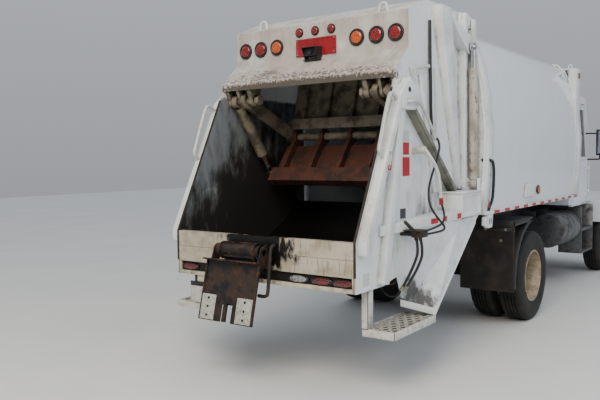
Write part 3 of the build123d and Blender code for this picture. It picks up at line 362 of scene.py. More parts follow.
def step_steel():
    # Galvanised grating with most of its white paint worn off: dull and pale, grimy and darkened by painted
    # shade in the corners.
    return finish("steel_galvanised_step", "#b8b6ae", 0.5, metal=0.25, layers=[
        ("#8f8a7e", 0.6, dict(size=0.04, low=0.45, high=0.7, amount=0.8)),
        (SOOT_AND_SHADE, 0.8, dict(size=0.05, low=0.88, high=1.08, zones=[("corners", 0.05, 0.45)])),
        (SOOT_AND_SHADE, 0.8, dict(size=0.02, low=0.72, high=0.78, shift=4.0)),
    ], bumps=[(0.006, 0.0003, (1, 1, 1))])


def fender_plastic():
    # Black moulded polyethylene with a fine grain, chalky with dust.
    return finish("polyethylene_moulded_black", "#101113", 0.55, layers=[
        ("#3a3630", 0.8, dict(size=0.25, low=0.42, high=0.75, amount=0.6)),
        ("#57503f", 0.85, dict(size=0.04, stretch=(1, 1, 5), low=0.6, high=0.8, amount=0.35)),
    ], bumps=[(0.0015, 0.0001, (1, 1, 1)), (0.3, 0.004, (1, 1, 1))])


def black_plastic():
    # Injection-moulded black plastic, satin, with a little dust.
    return finish("abs_moulded_black", "#121315", 0.42, layers=[
        ("#3c3a35", 0.7, dict(size=0.06, low=0.5, high=0.8, amount=0.4)),
    ], bumps=[(0.001, 0.00005, (1, 1, 1))])


def tyre_rubber():
    # Vulcanised tread rubber: deep matt black, browned by dust on the shoulders.
    return finish("rubber_tyre", "#0d0d0e", 0.78, layers=[
        ("#3a3227", 0.9, dict(size=0.12, low=0.4, high=0.78, amount=0.55)),
        ("#1c1a18", 0.7, dict(size=0.01, low=0.45, high=0.7, amount=0.5)),
    ], bumps=[(0.003, 0.0002, (1, 1, 1))])


def hose_rubber():
    # Extruded synthetic rubber hose with a smooth skin, greasy near its fittings.
    return finish("rubber_hose", "#0e0f11", 0.4, layers=[
        ("#37332c", 0.7, dict(size=0.08, low=0.5, high=0.78, amount=0.5)),
    ], bumps=[(0.002, 0.0001, (1, 1, 1))])


def wheel_enamel():
    # Steel disc wheels in beige enamel, brown with brake dust that thins towards the rim, dark with dust and
    # painted shade in the corners.
    return finish("enamel_wheel_beige", "#a3947c", 0.45, layers=[
        ("#6d5c47", 0.7, dict(size=0.09, low=0.42, high=0.68, amount=0.8)),
        ("#2c241c", 0.8, dict(size=0.05, low=0.84, high=1.05, zones=[("corners", 0.06, 0.45)])),
        edge_rust(0.02, 0.004, 0.98, 1.08),
    ], bumps=[(0.004, 0.0002, (1, 1, 1))])


def chrome_rod():
    # Hard chrome on a ground rod: near mirror, with a light oil film.
    return finish("chrome_ground_rod", "#c8c9ca", 0.12, metal=1.0, layers=[
        ("#6b6459", 0.4, dict(size=0.06, stretch=(1, 1, 6), low=0.5, high=0.8, amount=0.5)),
    ], bumps=[(0.0008, 0.00001, (1, 1, 1))])


def lens(name, code, deep):
    # Moulded polycarbonate lens over a reflector: saturated and glossy, with facets that are drawn
    # coarser than real ones so that they show.
    return finish(name, code, 0.18, ior=1.58, coat=0.4, glow=0.04, layers=[
        (deep, 0.25, dict(size=0.010, low=0.42, high=0.56, amount=0.95, detail=0.0)),
        (DUST, 0.6, dict(size=0.05, low=0.6, high=0.9, amount=0.25)),
    ], bumps=[(0.010, 0.0010, (1, 1, 1))])


def window_glass():
    # Tempered glass with a light grey tint and a film of dust near its edges.
    return finish("glass_tempered_tint", "#2c3a3b", 0.04, ior=1.52, see_through=0.85, layers=[
        ("#8c8a80", 0.4, dict(size=0.2, low=0.62, high=0.95, amount=0.3)),
    ])


def trim_vinyl():
    # Grained vinyl and moulded dash plastic, dark grey.
    return finish("vinyl_grained_grey", "#26272a", 0.6, layers=[
        ("#3a3b3d", 0.7, dict(size=0.05, low=0.45, high=0.7, amount=0.5)),
    ], bumps=[(0.002, 0.0002, (1, 1, 1))])


def shaded_enamel():
    # The white enamel on the braces' undersides with their shade painted in: olive-grey in place of white,
    # darker in patches.
    return finish("enamel_white_painted_shade", "#77776b", 0.5, layers=[
        ("#4b4a40", 0.65, dict(size=0.12, low=0.42, high=0.7, amount=0.7)),
        edge_rust(0.03, 0.005, 0.95, 1.08),
    ], bumps=[(0.005, 0.0002, (1, 1, 1))])


def guard_enamel():
    # White enamel on the folded guards: satin blue-white above, dark low down on both sides where the guard
    # meets the step.
    return finish("enamel_white_guards", "#ccd1d3", 0.32, layers=[
        ("#a3a7a6", 0.5, dict(size=0.3, low=0.42, high=0.7, amount=0.6)),
        ("#6f6a60", 0.6, dict(size=0.05, stretch=(1, 1, 6), low=0.58, high=0.78, amount=0.5)),
        ("#2b2620", 0.75, dict(size=0.05, stretch=(1, 1, 2), low=0.86, high=1.16, amount=0.9, detail=7.0,
                               zones=[("near", (0.86, -1.08, 0.70, 0.32, 0.4, 0.44), 0.9),
                                      ("near", (0.86, 1.08, 0.70, 0.32, 0.4, 0.44), 0.9)])),
        edge_rust(0.02, 0.006, 0.97, 1.06),
        grease_spots(0.014, 0.75),
    ], bumps=[(0.35, 0.003, (1, 1, 1)), (0.005, 0.0002, (1, 1, 1))])


def barrel_enamel():
    # Cream enamel on the cylinder barrels: rubbed, flaked to rust in spots, oily at the lower ends.
    return finish("enamel_cream_barrel", "#aaa699", 0.42, layers=[
        ("#6f6553", 0.6, dict(size=0.10, stretch=(1, 1, 3), low=0.42, high=0.7, amount=0.8)),
        (RUST, 0.85, dict(size=0.045, stretch=(1, 1, 1.6), low=0.57, high=0.66, amount=0.9, detail=6.0)),
        (GREASE_AND_SHADE, 0.5, dict(size=0.03, low=0.64, high=0.7, shift=3.0, detail=6.0)),
    ], bumps=[(0.006, 0.0004, (1, 1, 1))])


def sill_enamel():
    # Cream-white enamel on the lamp ledge, stained brown from below.
    return finish("enamel_cream_sill", "#b7ae9b", 0.45, layers=[
        ("#6d6557", 0.65, dict(size=0.1, low=0.45, high=0.7, amount=0.7)),
        (GREASE_AND_SHADE, 0.5, dict(size=0.05, low=0.66, high=0.76)),
    ], bumps=[(0.005, 0.0002, (1, 1, 1))])


def rail_paint():
    # White paint brushed over round bar: rubbed glossy by hands, yellowed, with painted shade darkening its
    # underside.
    return finish("enamel_brushed_bar", "#b9bcb8", 0.3, layers=[
        ("#8b8471", 0.5, dict(size=0.06, low=0.5, high=0.75, amount=0.6)),
        ("#4c463b", 0.7, dict(size=0.02, low=0.9, high=1.1, zones=[("facing", (0, 0, -1), 0.4)])),
    ], bumps=[(0.004, 0.00015, (1, 1, 1))])


def step_paint():
    # White enamel on the step's channels: chipped and rusted at its corners, soiled from boots.
    return finish("enamel_white_steps", "#c3c2bb", 0.42, layers=[
        ("#8a8273", 0.6, dict(size=0.07, low=0.45, high=0.7, amount=0.7)),
        (SOOT_AND_SHADE, 0.75, dict(size=0.03, low=0.66, high=0.74, shift=3.0)),
        edge_rust(0.02, 0.006, 0.93, 1.04),
    ], bumps=[(0.004, 0.0003, (1, 1, 1))])


def plaque_enamel():
    # Red enamel on a cast plaque with a raised border: glossy, with dust in its corners.
    return finish("enamel_red_plaque", looks().plaque_red, 0.3, layers=[
        ("#5a0d13", 0.45, dict(size=0.05, low=0.45, high=0.7, amount=0.6)),
        ("#6e6258", 0.7, dict(size=0.03, low=0.88, high=1.05, zones=[("corners", 0.02, 0.4)])),
    ], bumps=[(0.004, 0.0003, (1, 1, 1))])


def plate_paint():
    # Stamped aluminium plate with white reflective sheeting, dusty, left blank.
    return finish("aluminium_plate_sheeted", "#b5b3ab", 0.45, layers=[
        ("#857f72", 0.6, dict(size=0.05, low=0.45, high=0.72, amount=0.6)),
        (SOOT_AND_SHADE, 0.7, dict(size=0.01, low=0.7, high=0.78, shift=2.0)),
    ], bumps=[(0.003, 0.0001, (1, 1, 1))])


def vinyl_sheet(shade, code):
    # Cast vinyl film stuck to the paint: flat colour with a prismatic grain, scuffed and dusty.
    return finish("vinyl_film_" + shade, code, 0.35, layers=[
        ("#6b6156", 0.6, dict(size=0.03, low=0.55, high=0.75, amount=0.5)),
        (SOOT_AND_SHADE, 0.7, dict(size=0.012, low=0.68, high=0.75, amount=0.8, shift=4.0)),
    ], bumps=[(0.0025, 0.0001, (1, 1, 1))])


def red_film():
    # The same film in red: saturated under dust, for the tape and the side labels.
    return vinyl_sheet("red", looks().tape_red)


def white_film():
    # The same film in white, greyed by road dust.
    return vinyl_sheet("white", "#c9c9c4")


def zinc_fastener():
    # Zinc-plated steel fasteners, dulled to grey with brown in the corners.
    return finish("zinc_plated_steel", "#8f8e89", 0.4, metal=0.8, layers=[
        ("#4d4437", 0.75, dict(size=0.012, low=0.45, high=0.7, amount=0.8)),
    ], bumps=[(0.002, 0.0001, (1, 1, 1))])


def wear_pad():
    # Sawn nylon wear pads: chalky grey-white, cut and soiled.
    return finish("nylon_wear_pad", "#a5a69f", 0.55, layers=[
        ("#6c6a62", 0.65, dict(size=0.03, low=0.45, high=0.68, amount=0.7)),
        (GREASE_AND_SHADE, 0.5, dict(size=0.02, low=0.66, high=0.74, shift=3.0)),
    ], bumps=[(0.006, 0.0006, (1, 1, 1))])


def flap_rubber():
    # Calendered rubber sheet: matt black-brown, dusty, with faint ribs of the calender.
    return finish("rubber_sheet_flap", "#171412", 0.7, layers=[
        ("#3b3127", 0.85, dict(size=0.15, low=0.42, high=0.7, amount=0.6)),
        ("#5b4c3c", 0.85, dict(size=0.03, stretch=(1, 1, 4), low=0.6, high=0.78, amount=0.4)),
    ], bumps=[(0.004, 0.0004, (1, 1, 1))])


def silvered_glass():
    # Silvered mirror glass with a film of dust.
    return finish("glass_silvered", "#c6ccd0", 0.03, metal=1.0, layers=[
        ("#77756e", 0.4, dict(size=0.08, low=0.6, high=0.9, amount=0.4)),
    ])


def studio_floor():
    # Painted studio floor, rolled: pale grey, soft sheen, faint clouding.
    return finish("paint_studio_floor", "#dcdcd8", 0.6, layers=[
        ("#d2d3d0", 0.65, dict(size=1.5, low=0.4, high=0.7, amount=0.6)),
    ], bumps=[(0.02, 0.0002, (1, 1, 1))])


def clear_selection():
    bpy.ops.object.select_all(action="DESELECT")


MADE = {}


def made_of(maker, *details):
    """The material of a maker, made once."""
    if (maker, details) not in MADE:
        MADE[maker, details] = maker(*details)
    return MADE[maker, details]


def open_edit(piece):
    """Opens a piece in edit mode with nothing selected."""
    clear_selection()
    piece.select_set(True)
    bpy.context.view_layer.objects.active = piece
    bpy.ops.object.mode_set(mode="EDIT")
    bpy.ops.mesh.select_mode(type="FACE")
    bpy.ops.mesh.select_all(action="DESELECT")


def close_edit(piece, merge=False):
    """Turns every face outwards and leaves edit mode."""
    bpy.ops.mesh.select_all(action="SELECT")
    if merge:
        bpy.ops.mesh.remove_doubles(threshold=0.0001)
    bpy.ops.mesh.normals_make_consistent(inside=False)
    bpy.ops.object.mode_set(mode="OBJECT")
    return piece


def pick(piece, test):
    """Selects the faces of a piece in edit mode whose centre and normal pass the test."""
    shape = bmesh.from_edit_mesh(piece.data)
    for side in shape.faces:
        side.select_set(bool(test(side.calc_center_median(), side.normal)))
    bmesh.update_edit_mesh(piece.data)


def inset_faces(piece, test, steps):
    """Insets the faces that pass the test; each step is an inset and a move along the normal."""
    open_edit(piece)
    pick(piece, test)
    for inset, rise in steps:
        bpy.ops.mesh.inset(thickness=inset, depth=rise)
    return close_edit(piece)


def looks_back(middle, normal):
    return normal.x < -0.9


def facet(points):
    """A flat face: a circle's vertices moved to these corners."""
    clear_selection()
    bpy.ops.mesh.primitive_circle_add(vertices=len(points), fill_type="NGON")
    piece = bpy.context.object
    for corner, place in zip(piece.data.vertices, points):
        corner.co = place
    return piece


def prism(points, depth):
    """A face with these corners, extruded by depth."""
    piece = facet(points)
    open_edit(piece)
    bpy.ops.mesh.select_all(action="SELECT")
    bpy.ops.mesh.extrude_region_move(TRANSFORM_OT_translate={"value": depth})
    return close_edit(piece)


def side_prism(s, outline, y0, y1):
    """A side outline of (station, height) points, from y0 to y1 on side s."""
    return prism([at(x, s * y0, z) for x, z in outline], (0, s * (y1 - y0), 0))


def block(x0, x1, y0, y1, z0, z1):
    return prism([at(x0, y0, z0), at(x1, y0, z0), at(x1, y1, z0), at(x0, y1, z0)], (0, 0, z1 - z0))


def loft(start, end):
    """A solid between two faces of as many corners: the first is extruded, then its copy is reshaped."""
    lift = Vector((0, 0, 9.0))
    piece = prism(start, lift)
    for corner in piece.data.vertices:
        for low, high in zip(start, end):
            if (corner.co - low - lift).length < 1e-5:
                corner.co = high
                break
    open_edit(piece)
    return close_edit(piece)


def hollow(piece, way, wall, depth):
    """Opens the faces that look along way: an inset rim, then a pocket."""
    open_edit(piece)
    pick(piece, lambda middle, normal: normal.dot(Vector(way)) > 0.95)
    bpy.ops.mesh.inset(thickness=wall, depth=0.0)
    bpy.ops.mesh.extrude_region_move(TRANSFORM_OT_translate={"value": [-depth * w for w in way]})
    return close_edit(piece)


def puck(centre, way, radius, height, steps=(), sides=28, stretch=(1, 1, 1)):
    """A round boss from centre along way; each step insets its face and moves it along way."""
    way = Vector(way).normalized()
    clear_selection()
    bpy.ops.mesh.primitive_cylinder_add(vertices=sides, radius=radius, depth=height,
                                        location=centre + way * height / 2,
                                        rotation=way.to_track_quat("Z", "Y").to_euler())
    piece = bpy.context.object
    bpy.ops.object.transform_apply(location=True, rotation=True, scale=True)
    inset_faces(piece, lambda middle, normal: normal.dot(way) > 0.95, steps)
    grow = Matrix.Translation(centre) @ Matrix.Diagonal((*stretch, 1)) @ Matrix.Translation(-centre)
    piece.data.transform(grow)
    return piece


def tube(points, radius, order=3, rings=6):
    """A round bar along a smooth line through the chosen points."""
    clear_selection()
    bpy.ops.curve.primitive_nurbs_path_add()
    piece = bpy.context.object
    piece.data.splines.clear()
    line = piece.data.splines.new("NURBS")
    line.points.add(len(points) - 1)
    for spot, place in zip(line.points, points):
        spot.co = (*at(*place), 1)
    line.order_u = order
    line.use_endpoint_u = True
    line.resolution_u = rings
    piece.data.bevel_depth = radius
    piece.data.bevel_resolution = 3
    piece.data.use_fill_caps = True
    bpy.ops.object.convert(target="MESH")
    return bpy.context.object


def spun(profile, x, z, angle=math.tau, steps=64, start=0.0):
    """A closed profile of (y, radius) points turned about the Y line through (x, z)."""
    turn = Matrix.Rotation(start, 3, "Y")
    piece = facet([at(x, 0, z) + turn @ Vector((0, y, r)) for y, r in profile])
    open_edit(piece)
    bpy.ops.mesh.select_all(action="SELECT")
    if angle >= math.tau:
        bpy.ops.mesh.delete(type="ONLY_FACE")
        bpy.ops.mesh.select_all(action="SELECT")
    bpy.ops.mesh.spin(steps=steps, angle=angle, center=at(x, 0, z), axis=(0, 1, 0))
    return close_edit(piece, merge=True)


def copied(piece, places):
    """Copies of a piece, each with its own mesh, moved by the given matrices; the first is dropped."""
    copies = []
    for place in places:
        twin = piece.copy()
        twin.data = piece.data.copy()
        twin.data.transform(place)
        bpy.context.collection.objects.link(twin)
        copies.append(twin)
    bpy.data.objects.remove(piece)
    return copies


def around(x, z, count, first=0.0):
    """Turns about the Y line through (x, z), spaced evenly."""
    centre = Matrix.Translation(at(x, 0, z))
    return [centre @ Matrix.Rotation(first + math.tau * k / count, 4, "Y") @ centre.inverted()
            for k in range(count)]


def settle(pieces, name, material, body, bevel=0.003, stands_for=(), angle=35):
    """Joins pieces into one, rounds its edges and hands it to its body."""
    clear_selection()
    for piece in pieces:
        piece.select_set(True)
    bpy.context.view_layer.objects.active = pieces[0]
    if len(pieces) > 1:
        bpy.ops.object.join()
    piece = bpy.context.view_layer.objects.active
    piece.name = name
    bpy.ops.object.transform_apply(location=True, rotation=True, scale=True)
    if bevel:
        edge = piece.modifiers.new("rounding", "BEVEL")
        edge.width = bevel
        edge.segments = 2
        edge.limit_method = "ANGLE"
        edge.angle_limit = math.radians(40)
        bpy.ops.object.modifier_apply(modifier=edge.name)
    bpy.ops.object.shade_smooth_by_angle(angle=math.radians(angle))
    piece.data.materials.clear()
    piece.data.materials.append(material)
    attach(piece, body)
    for node in stands_for:
        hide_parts(node)
    return piece


def smoothed(node, angle, material, bevel=0.0):
    """Stands a merged copy of a CAD node in its place, with rounded shading over its facets."""
    source = frame["nodes"][node]
    twin = source.copy()
    twin.data = source.data.copy()
    twin.parent = None
    for key in list(twin.keys()):
        del twin[key]
    bpy.context.collection.objects.link(twin)
    open_edit(twin)
    bpy.ops.mesh.select_all(action="SELECT")
    bpy.ops.mesh.remove_doubles(threshold=0.00005)
    bpy.ops.mesh.dissolve_limited(angle_limit=math.radians(1))
    bpy.ops.object.mode_set(mode="OBJECT")
    return settle([twin], node + "_rounded", material, source["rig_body"], bevel, (node,), angle)


NODE_FINISHES = {
    body_enamel: ("body_shell", "cab_shell", "door_left", "door_right", "hood"),
    frame_enamel: ("body_frames", "body_sills", "tailgate_frames", "wing_plates", "grab_rails",
                   "hydraulic_lines"),
    barrel_enamel: ("lift_barrels",),
    tailgate_enamel: ("tailgate_shell",),
    scoured_plate: ("hopper_trough", "ejector_panel"),
    rusted_steel: ("lifter_mount", "lifter_face"),
    packer_paint: ("packer_carrier", "pack_barrels"),
    blade_steel: ("packer_blade",),
    chassis_paint: ("chassis_frame", "frame_crossmembers", "front_bumper"),
    cast_iron: ("rear_axle", "front_axle", "engine_block", "knuckle_left", "knuckle_right"),
    tank_metal: ("fuel_tanks", "grille"),
    step_steel: ("rear_steps",),
    fender_plastic: ("rear_fenders",),
    black_plastic: ("mirror_left", "mirror_right", "header_fittings"),
    tyre_rubber: ("tyre_front_left", "tyre_front_right", "tyres_rear_left", "tyres_rear_right"),
    hose_rubber: ("hydraulic_hoses",),
    wheel_enamel: ("rim_front_left", "rim_front_right", "rims_rear_left", "rims_rear_right"),
    chrome_rod: ("pack_rods", "lift_rods"),
    window_glass: ("cab_glass", "door_glass_left", "door_glass_right"),
    trim_vinyl: ("cab_interior",),
}
LENS_COLOURS = dict(
    red=("polycarbonate_red", "#92090f", "#4a0407"),
    amber=("polycarbonate_amber", "#c9560a", "#8a3204"),
    clear=("polycarbonate_clear", "#8e908f", "#5f6163"),
    dusty=("polycarbonate_red_dusty", "#5f1416", "#380a0c"),
)


def lens_of(colour):
    """The lens material of one of the named colours."""
    return made_of(lens, *LENS_COLOURS[colour])


def dress(node, material):
    """Gives a node its material in place of the plain one."""
    mesh = frame["nodes"][node].data
    mesh.materials.clear()
    mesh.materials.append(material)


class TRUCK_OT_finishes(bpy.types.Operator):
    """Gives every fixed piece of the truck its finish"""
    bl_idname = "truck.finishes"
    bl_label = "Finish the fixed pieces"

    def execute(self, context):
        for maker, nodes in NODE_FINISHES.items():
            for node in nodes:
                dress(node, made_of(maker))
        dress("headlamps", lens_of("clear"))
        return {"FINISHED"}


POST = [(0.018, 1.160), (0.018, 1.255), (0.612, 2.450), (0.676, 2.450), (0.150, 1.345), (0.095, 1.160)]
HEAD = [(0.606, 2.442), (0.760, 2.568), (0.985, 2.366), (0.830, 2.300), (0.706, 2.300), (0.620, 2.300)]
RIB = [(0.706, 2.345), (0.610, 2.345), (0.322, 0.905), (0.330, 0.890), (0.410, 0.884)]
BRACE = ((0.748, 2.362), (1.700, 1.562))
SHELF = [(1.500, 3.210), (1.980, 3.078), (2.040, 3.060), (2.040, 2.900), (1.950, 2.900), (1.700, 3.060)]
HINGE_ARM = [(1.900, 3.100), (1.900, 3.290), (2.140, 3.290), (2.200, 3.245), (2.200, 3.185), (2.120, 3.175)]
COMB = [(0.712, 2.460), (0.664, 2.574), (0.664, 2.632), (0.893, 2.831), (0.810, 2.480)]
SIDES = (1, -1)
# How far the hopper's outer walls and the sill's lamp ledge stand from the middle.
SKIN, LABEL_FACE, LEDGE_END = 0.958, 0.962, 0.940
# Thickness that a stuck film is drawn with.
FILM = 0.001
# Station of the header's rear face, which its fittings stand on.
HEADER_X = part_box("header_fittings")[1].x - SILL


def strip(s, a, b, n0, n1, y0, y1):
    """A straight strip in a side view, from n0 to n1 across the line from a to b."""
    a, b = Vector(a), Vector(b)
    across = Vector((a.y - b.y, b.x - a.x)).normalized()
    return side_prism(s, [a + across * n0, b + across * n0, b + across * n1, a + across * n1], y0, y1)


class TRUCK_OT_tailgate_side(bpy.types.Operator):
    """Builds the folded posts, ribs, beams, braces and packer hangers of the tailgate"""
    bl_idname = "truck.tailgate_side"
    bl_label = "Build the tailgate's side frames"

    def execute(self, context):
        white = made_of(frame_enamel)
        posts, beams, hole_shades, rims = [], [], [], []
        for s in SIDES:
            posts.append(hollow(side_prism(s, POST, 0.962, 1.042), (0, 0, -1), 0.008, 0.12))
            posts.append(side_prism(s, HEAD, SKIN, 1.044))
            # A dark disc where the head plate has a hole: painted shade in place of the hole.
            hole_shades.append(puck(at(0.735, s * 1.0445, 2.464), (0, s, 0), 0.024, 0.001, [(0.003, -0.0006)], 20))
            rims.append(strip(s, (0.0, 1.255), (0.600, 2.480), 0.0, 0.002, 0.938, 0.962))
            rims.append(side_prism(s, [(-0.002, 0.985), (-0.002, 1.255), (0.0, 1.255), (0.0, 0.985)],
                                   0.939, 0.962))
            posts.append(hollow(side_prism(s, RIB, SKIN, 1.026), (0.05, 0, -1), 0.006, 0.02))
            beams.append(loft([at(0.35, s * y, z) for y, z in
                               ((SKIN, 1.274), (0.985, 1.274), (0.985, 1.354), (SKIN, 1.354))],
                              [at(1.48, s * y, z) for y, z in
                               ((SKIN, 1.336), (1.194, 1.336), (1.194, 1.411), (SKIN, 1.411))]))
            box = block(1.47, 1.935, s * SKIN, s * 1.2, 1.345, 1.570)
            beams.append(inset_faces(box, lambda middle, normal: abs(normal.y) > 0.9 and abs(middle.y) > 1.1,
                                     [(0.03, 0.0), (0.004, -0.008)]))
            beams.append(block(1.455, 1.950, s * SKIN, s * 1.206, 1.566, 1.578))
            beams.append(block(1.915, 1.985, s * SKIN, s * 1.040, 1.345, 3.285))
            beams.append(loft([at(x, s * y, 1.590) for x, y in
                               ((1.86, SKIN), (1.93, SKIN), (1.93, 1.000), (1.86, 1.000))],
                              [at(x, s * y, 3.262) for x, y in
                               ((1.322, SKIN), (1.560, SKIN), (1.560, 1.060), (1.322, 1.060))]))
            beams.append(side_prism(s, [(1.05, 2.62), (1.10, 2.62), (1.40, 1.58), (1.35, 1.58)],
                                    SKIN, 0.985))
            beams.append(side_prism(s, SHELF, SKIN, 1.063))
            beams.append(side_prism(s, HINGE_ARM, 0.970, 1.000))
            beams.append(puck(at(2.160, s * 0.966, 3.215), (0, s, 0), 0.058, 0.038))
        settle(posts, "tailgate_posts", white, "tailgate", stands_for=("tailgate_frames",))
        settle(beams, "tailgate_beams", white, "tailgate")
        settle(hole_shades, "head_plate_hole_shades", made_of(fender_plastic), "tailgate", 0)
        settle(rims, "opening_rims", made_of(cast_iron), "tailgate", 0)
        braces = []
        for s in SIDES:
            braces.append(strip(s, *BRACE, 0, 0.044, 1.034, 1.040))
            braces.append(strip(s, *BRACE, 0, 0.006, SKIN, 1.040))
        # The braces take the white enamel with its shade painted in.
        settle(braces, "tailgate_braces", made_of(shaded_enamel), "tailgate", 0.001)
        pins = []
        for s in SIDES:
            for y0, y1 in ((0.620, 0.668), (0.772, 0.802), (0.902, 0.941)):
                pins.append(side_prism(s, COMB, y0, y1))
                pins.append(puck(at(0.760, s * y0, 2.470), (0, s, 0), 0.056, y1 - y0))
            pins.append(puck(at(0.760, s * 0.598, 2.470), (0, s, 0), 0.038, 0.342))
            pins.append(puck(at(0.760, s * 0.598, 2.470), (0, -s, 0), 0.050, 0.030, [(0.014, 0.0)], 6))
        settle(pins, "packer_hangers", made_of(packer_paint), "tailgate")
        return {"FINISHED"}


# The folded guard below each beam: its corners, then its three flats.
GUARD = dict(
    top_rear=(0.501, 0.962, 1.281), crease_top=(1.321, 1.162, 1.325), crease_mid=(1.410, 1.174, 1.230),
    crease_low=(0.857, 0.984, 0.656), wall_foot=(0.734, 0.961, 0.719), corner_top=(1.860, 1.199, 1.344),
    edge_top=(1.790, 1.198, 1.290), step_corner=(0.935, 1.178, 0.560))
GUARD_FLATS = (("crease_top", "top_rear", "wall_foot", "crease_low", "crease_mid"),
               ("crease_mid", "crease_low", "step_corner"),
               ("edge_top", "corner_top", "crease_top", "crease_mid", "step_corner"))


class TRUCK_OT_guards(bpy.types.Operator):
    """Builds the folded guards that slope from the beams to the rear steps"""
    bl_idname = "truck.guards"
    bl_label = "Build the side guards"

    def execute(self, context):
        flats, edges = [], []
        for s in SIDES:
            spots = {name: at(x, s * y, z) for name, (x, y, z) in GUARD.items()}
            for names in GUARD_FLATS:
                corners = [spots[name] for name in names]
                inward = Vector((0, -s * 0.006, 0))
                flats.append(loft(corners, [corner + inward for corner in corners]))
            low, high = spots["step_corner"], spots["edge_top"]
            ring = ((0, 0.004, -0.02), (0, -0.03, -0.02), (0, -0.03, 0.012), (0, 0.004, 0.012))
            edges.append(loft([low + Vector((x, s * y, z)) for x, y, z in ring],
                              [high + Vector((x, s * y, z)) for x, y, z in ring]))
            edges.append(loft([at(0.72, s * 0.962, 0.700), at(0.72, s * 0.962, 0.640),
                               at(0.73, s * 0.955, 0.640), at(0.73, s * 0.955, 0.700)],
                              [at(0.935, s * 1.178, 0.610), at(0.935, s * 1.178, 0.551),
                               at(0.945, s * 1.170, 0.551), at(0.945, s * 1.170, 0.610)]))
        settle(flats, "side_guards", made_of(guard_enamel), "tailgate", 0.0008,
               ("wing_plates",), 20)
        settle(edges, "guard_edges", made_of(frame_enamel), "tailgate", 0.004)
        return {"FINISHED"}


ROUND_LAMPS = ((0.842, 2.975, "red"), (0.650, 2.975, "red"), (0.450, 2.975, "amber"),
               (-0.450, 2.975, "amber"), (-0.650, 2.975, "red"), (-0.840, 2.975, "red"))
SMALL_LAMPS = (0.180, 0.0, -0.180)
# How wide the rubber shows round a lens of each size.
ROUND_RUBBER, SMALL_RUBBER = 0.022, 0.011
SILL_LAMPS = ((0.815, "dusty"), (-0.405, "clear"), (-0.630, "dusty"), (-0.835, "dusty"))


# Each lens colour, its slot and the node that it stands for.
LENS_SLOTS = (("red", "red_lens", ("red_lamps",)), ("amber", "amber_lens", ("amber_lamps",)),
              ("clear", "clear_lens", ()), ("dusty", "red_lens", ()))


class TRUCK_OT_header(bpy.types.Operator):
    """Builds the rear lamps and the header's blank plaque, camera and lifting eyes"""
    bl_idname = "truck.header"
    bl_label = "Build the header's fittings"

    def execute(self, context):
        back = (-1, 0, 0)
        rubber, lenses = [], {"red": [], "amber": [], "clear": [], "dusty": []}
        size, small = looks().round_lamp, looks().small_lamp
        for y, z, colour in ROUND_LAMPS:
            spot = at(HEADER_X, y, z)
            rubber.append(puck(spot, back, size, 0.012, [(0.006, 0.008), (0.010, 0.0), (0.006, -0.006)], 40))
            lenses[colour].append(puck(spot, back, size - ROUND_RUBBER, 0.016,
                                       [(0.006, 0.004), (0.016, 0.002)], 40))
        for y in SMALL_LAMPS:
            spot = at(HEADER_X, y, 3.085)
            rubber.append(puck(spot, back, small, 0.010, [(0.004, 0.004), (0.006, -0.003)], 32))
            lenses["red"].append(puck(spot, back, small - SMALL_RUBBER, 0.016,
                                      [(0.004, 0.003), (0.008, 0.002)], 32))
        for s in SIDES:
            spot = at(0.955, s * 0.9395, 3.075)
            rubber.append(puck(spot, (0, s, 0), 0.036, 0.006, [(0.006, 0.0)], 24))
            lenses["red"].append(puck(spot, (0, s, 0), 0.027, 0.014, [(0.006, 0.003)], 24))
        for y, colour in SILL_LAMPS:
            spot, wide = at(0.030, y, 0.930), (1, 2.9, 1)
            rubber.append(puck(spot, back, 0.036, 0.014, [(0.003, 0.004), (0.004, -0.006)], 32, wide))
            lenses[colour].append(puck(spot, back, 0.028, 0.016, [(0.004, 0.003)], 32, wide))
        settle(rubber, "lamp_grommets", made_of(black_plastic), "tailgate", 0.0012)
        for colour, slot, stands_for in LENS_SLOTS:
            settle(lenses[colour], colour + "_lamp_lenses", lens_of(colour), "tailgate", 0.0012,
                   stands_for)

        plaque = block(HEADER_X - 0.010, HEADER_X, -0.232, 0.218, 2.858, 3.021)
        inset_faces(plaque, looks_back, [(0.012, 0.0), (0.003, -0.004)])
        studs = [puck(at(HEADER_X - 0.007, y, z), back, 0.008, 0.007, [(0.002, 0.001)], 12)
                 for y in (-0.212, 0.198) for z in (2.877, 3.002)]
        settle([plaque], "header_plaque", made_of(plaque_enamel), "tailgate", 0.002)
        settle(studs, "plaque_studs", made_of(zinc_fastener), "tailgate", 0.0006)

        case = block(HEADER_X - 0.090, HEADER_X - 0.012, -0.064, 0.064, 2.846, 2.917)
        inset_faces(case, looks_back, [(0.010, 0.0), (0.002, -0.012)])
        tip, root = HEADER_X - 0.124, HEADER_X - 0.010
        hood = side_prism(1, [(tip, 2.924), (root, 2.936), (root, 2.928), (tip, 2.916)], -0.079, 0.079)
        cheeks = [side_prism(s, [(tip, 2.922), (root, 2.934), (root, 2.814), (HEADER_X - 0.064, 2.814)],
                             0.070, 0.079) for s in SIDES]
        eye = puck(at(HEADER_X - 0.078, 0.0, 2.881), back, 0.019, 0.010, [(0.004, -0.004)], 20)
        foot = block(HEADER_X - 0.074, HEADER_X, -0.096, 0.096, 2.808, 2.815)
        settle([case, hood, *cheeks, eye, foot], "rear_camera", made_of(black_plastic), "tailgate",
               0.002, ("header_fittings",))
        eyes = [tube([(0.960, s * 0.632, 3.150), (0.960, s * 0.632, 3.242), (0.960, s * 0.674, 3.265),
                      (0.960, s * 0.716, 3.242), (0.960, s * 0.716, 3.150)], 0.014) for s in SIDES]
        settle(eyes, "lifting_eyes", made_of(frame_enamel), "tailgate", 0)
        return {"FINISHED"}


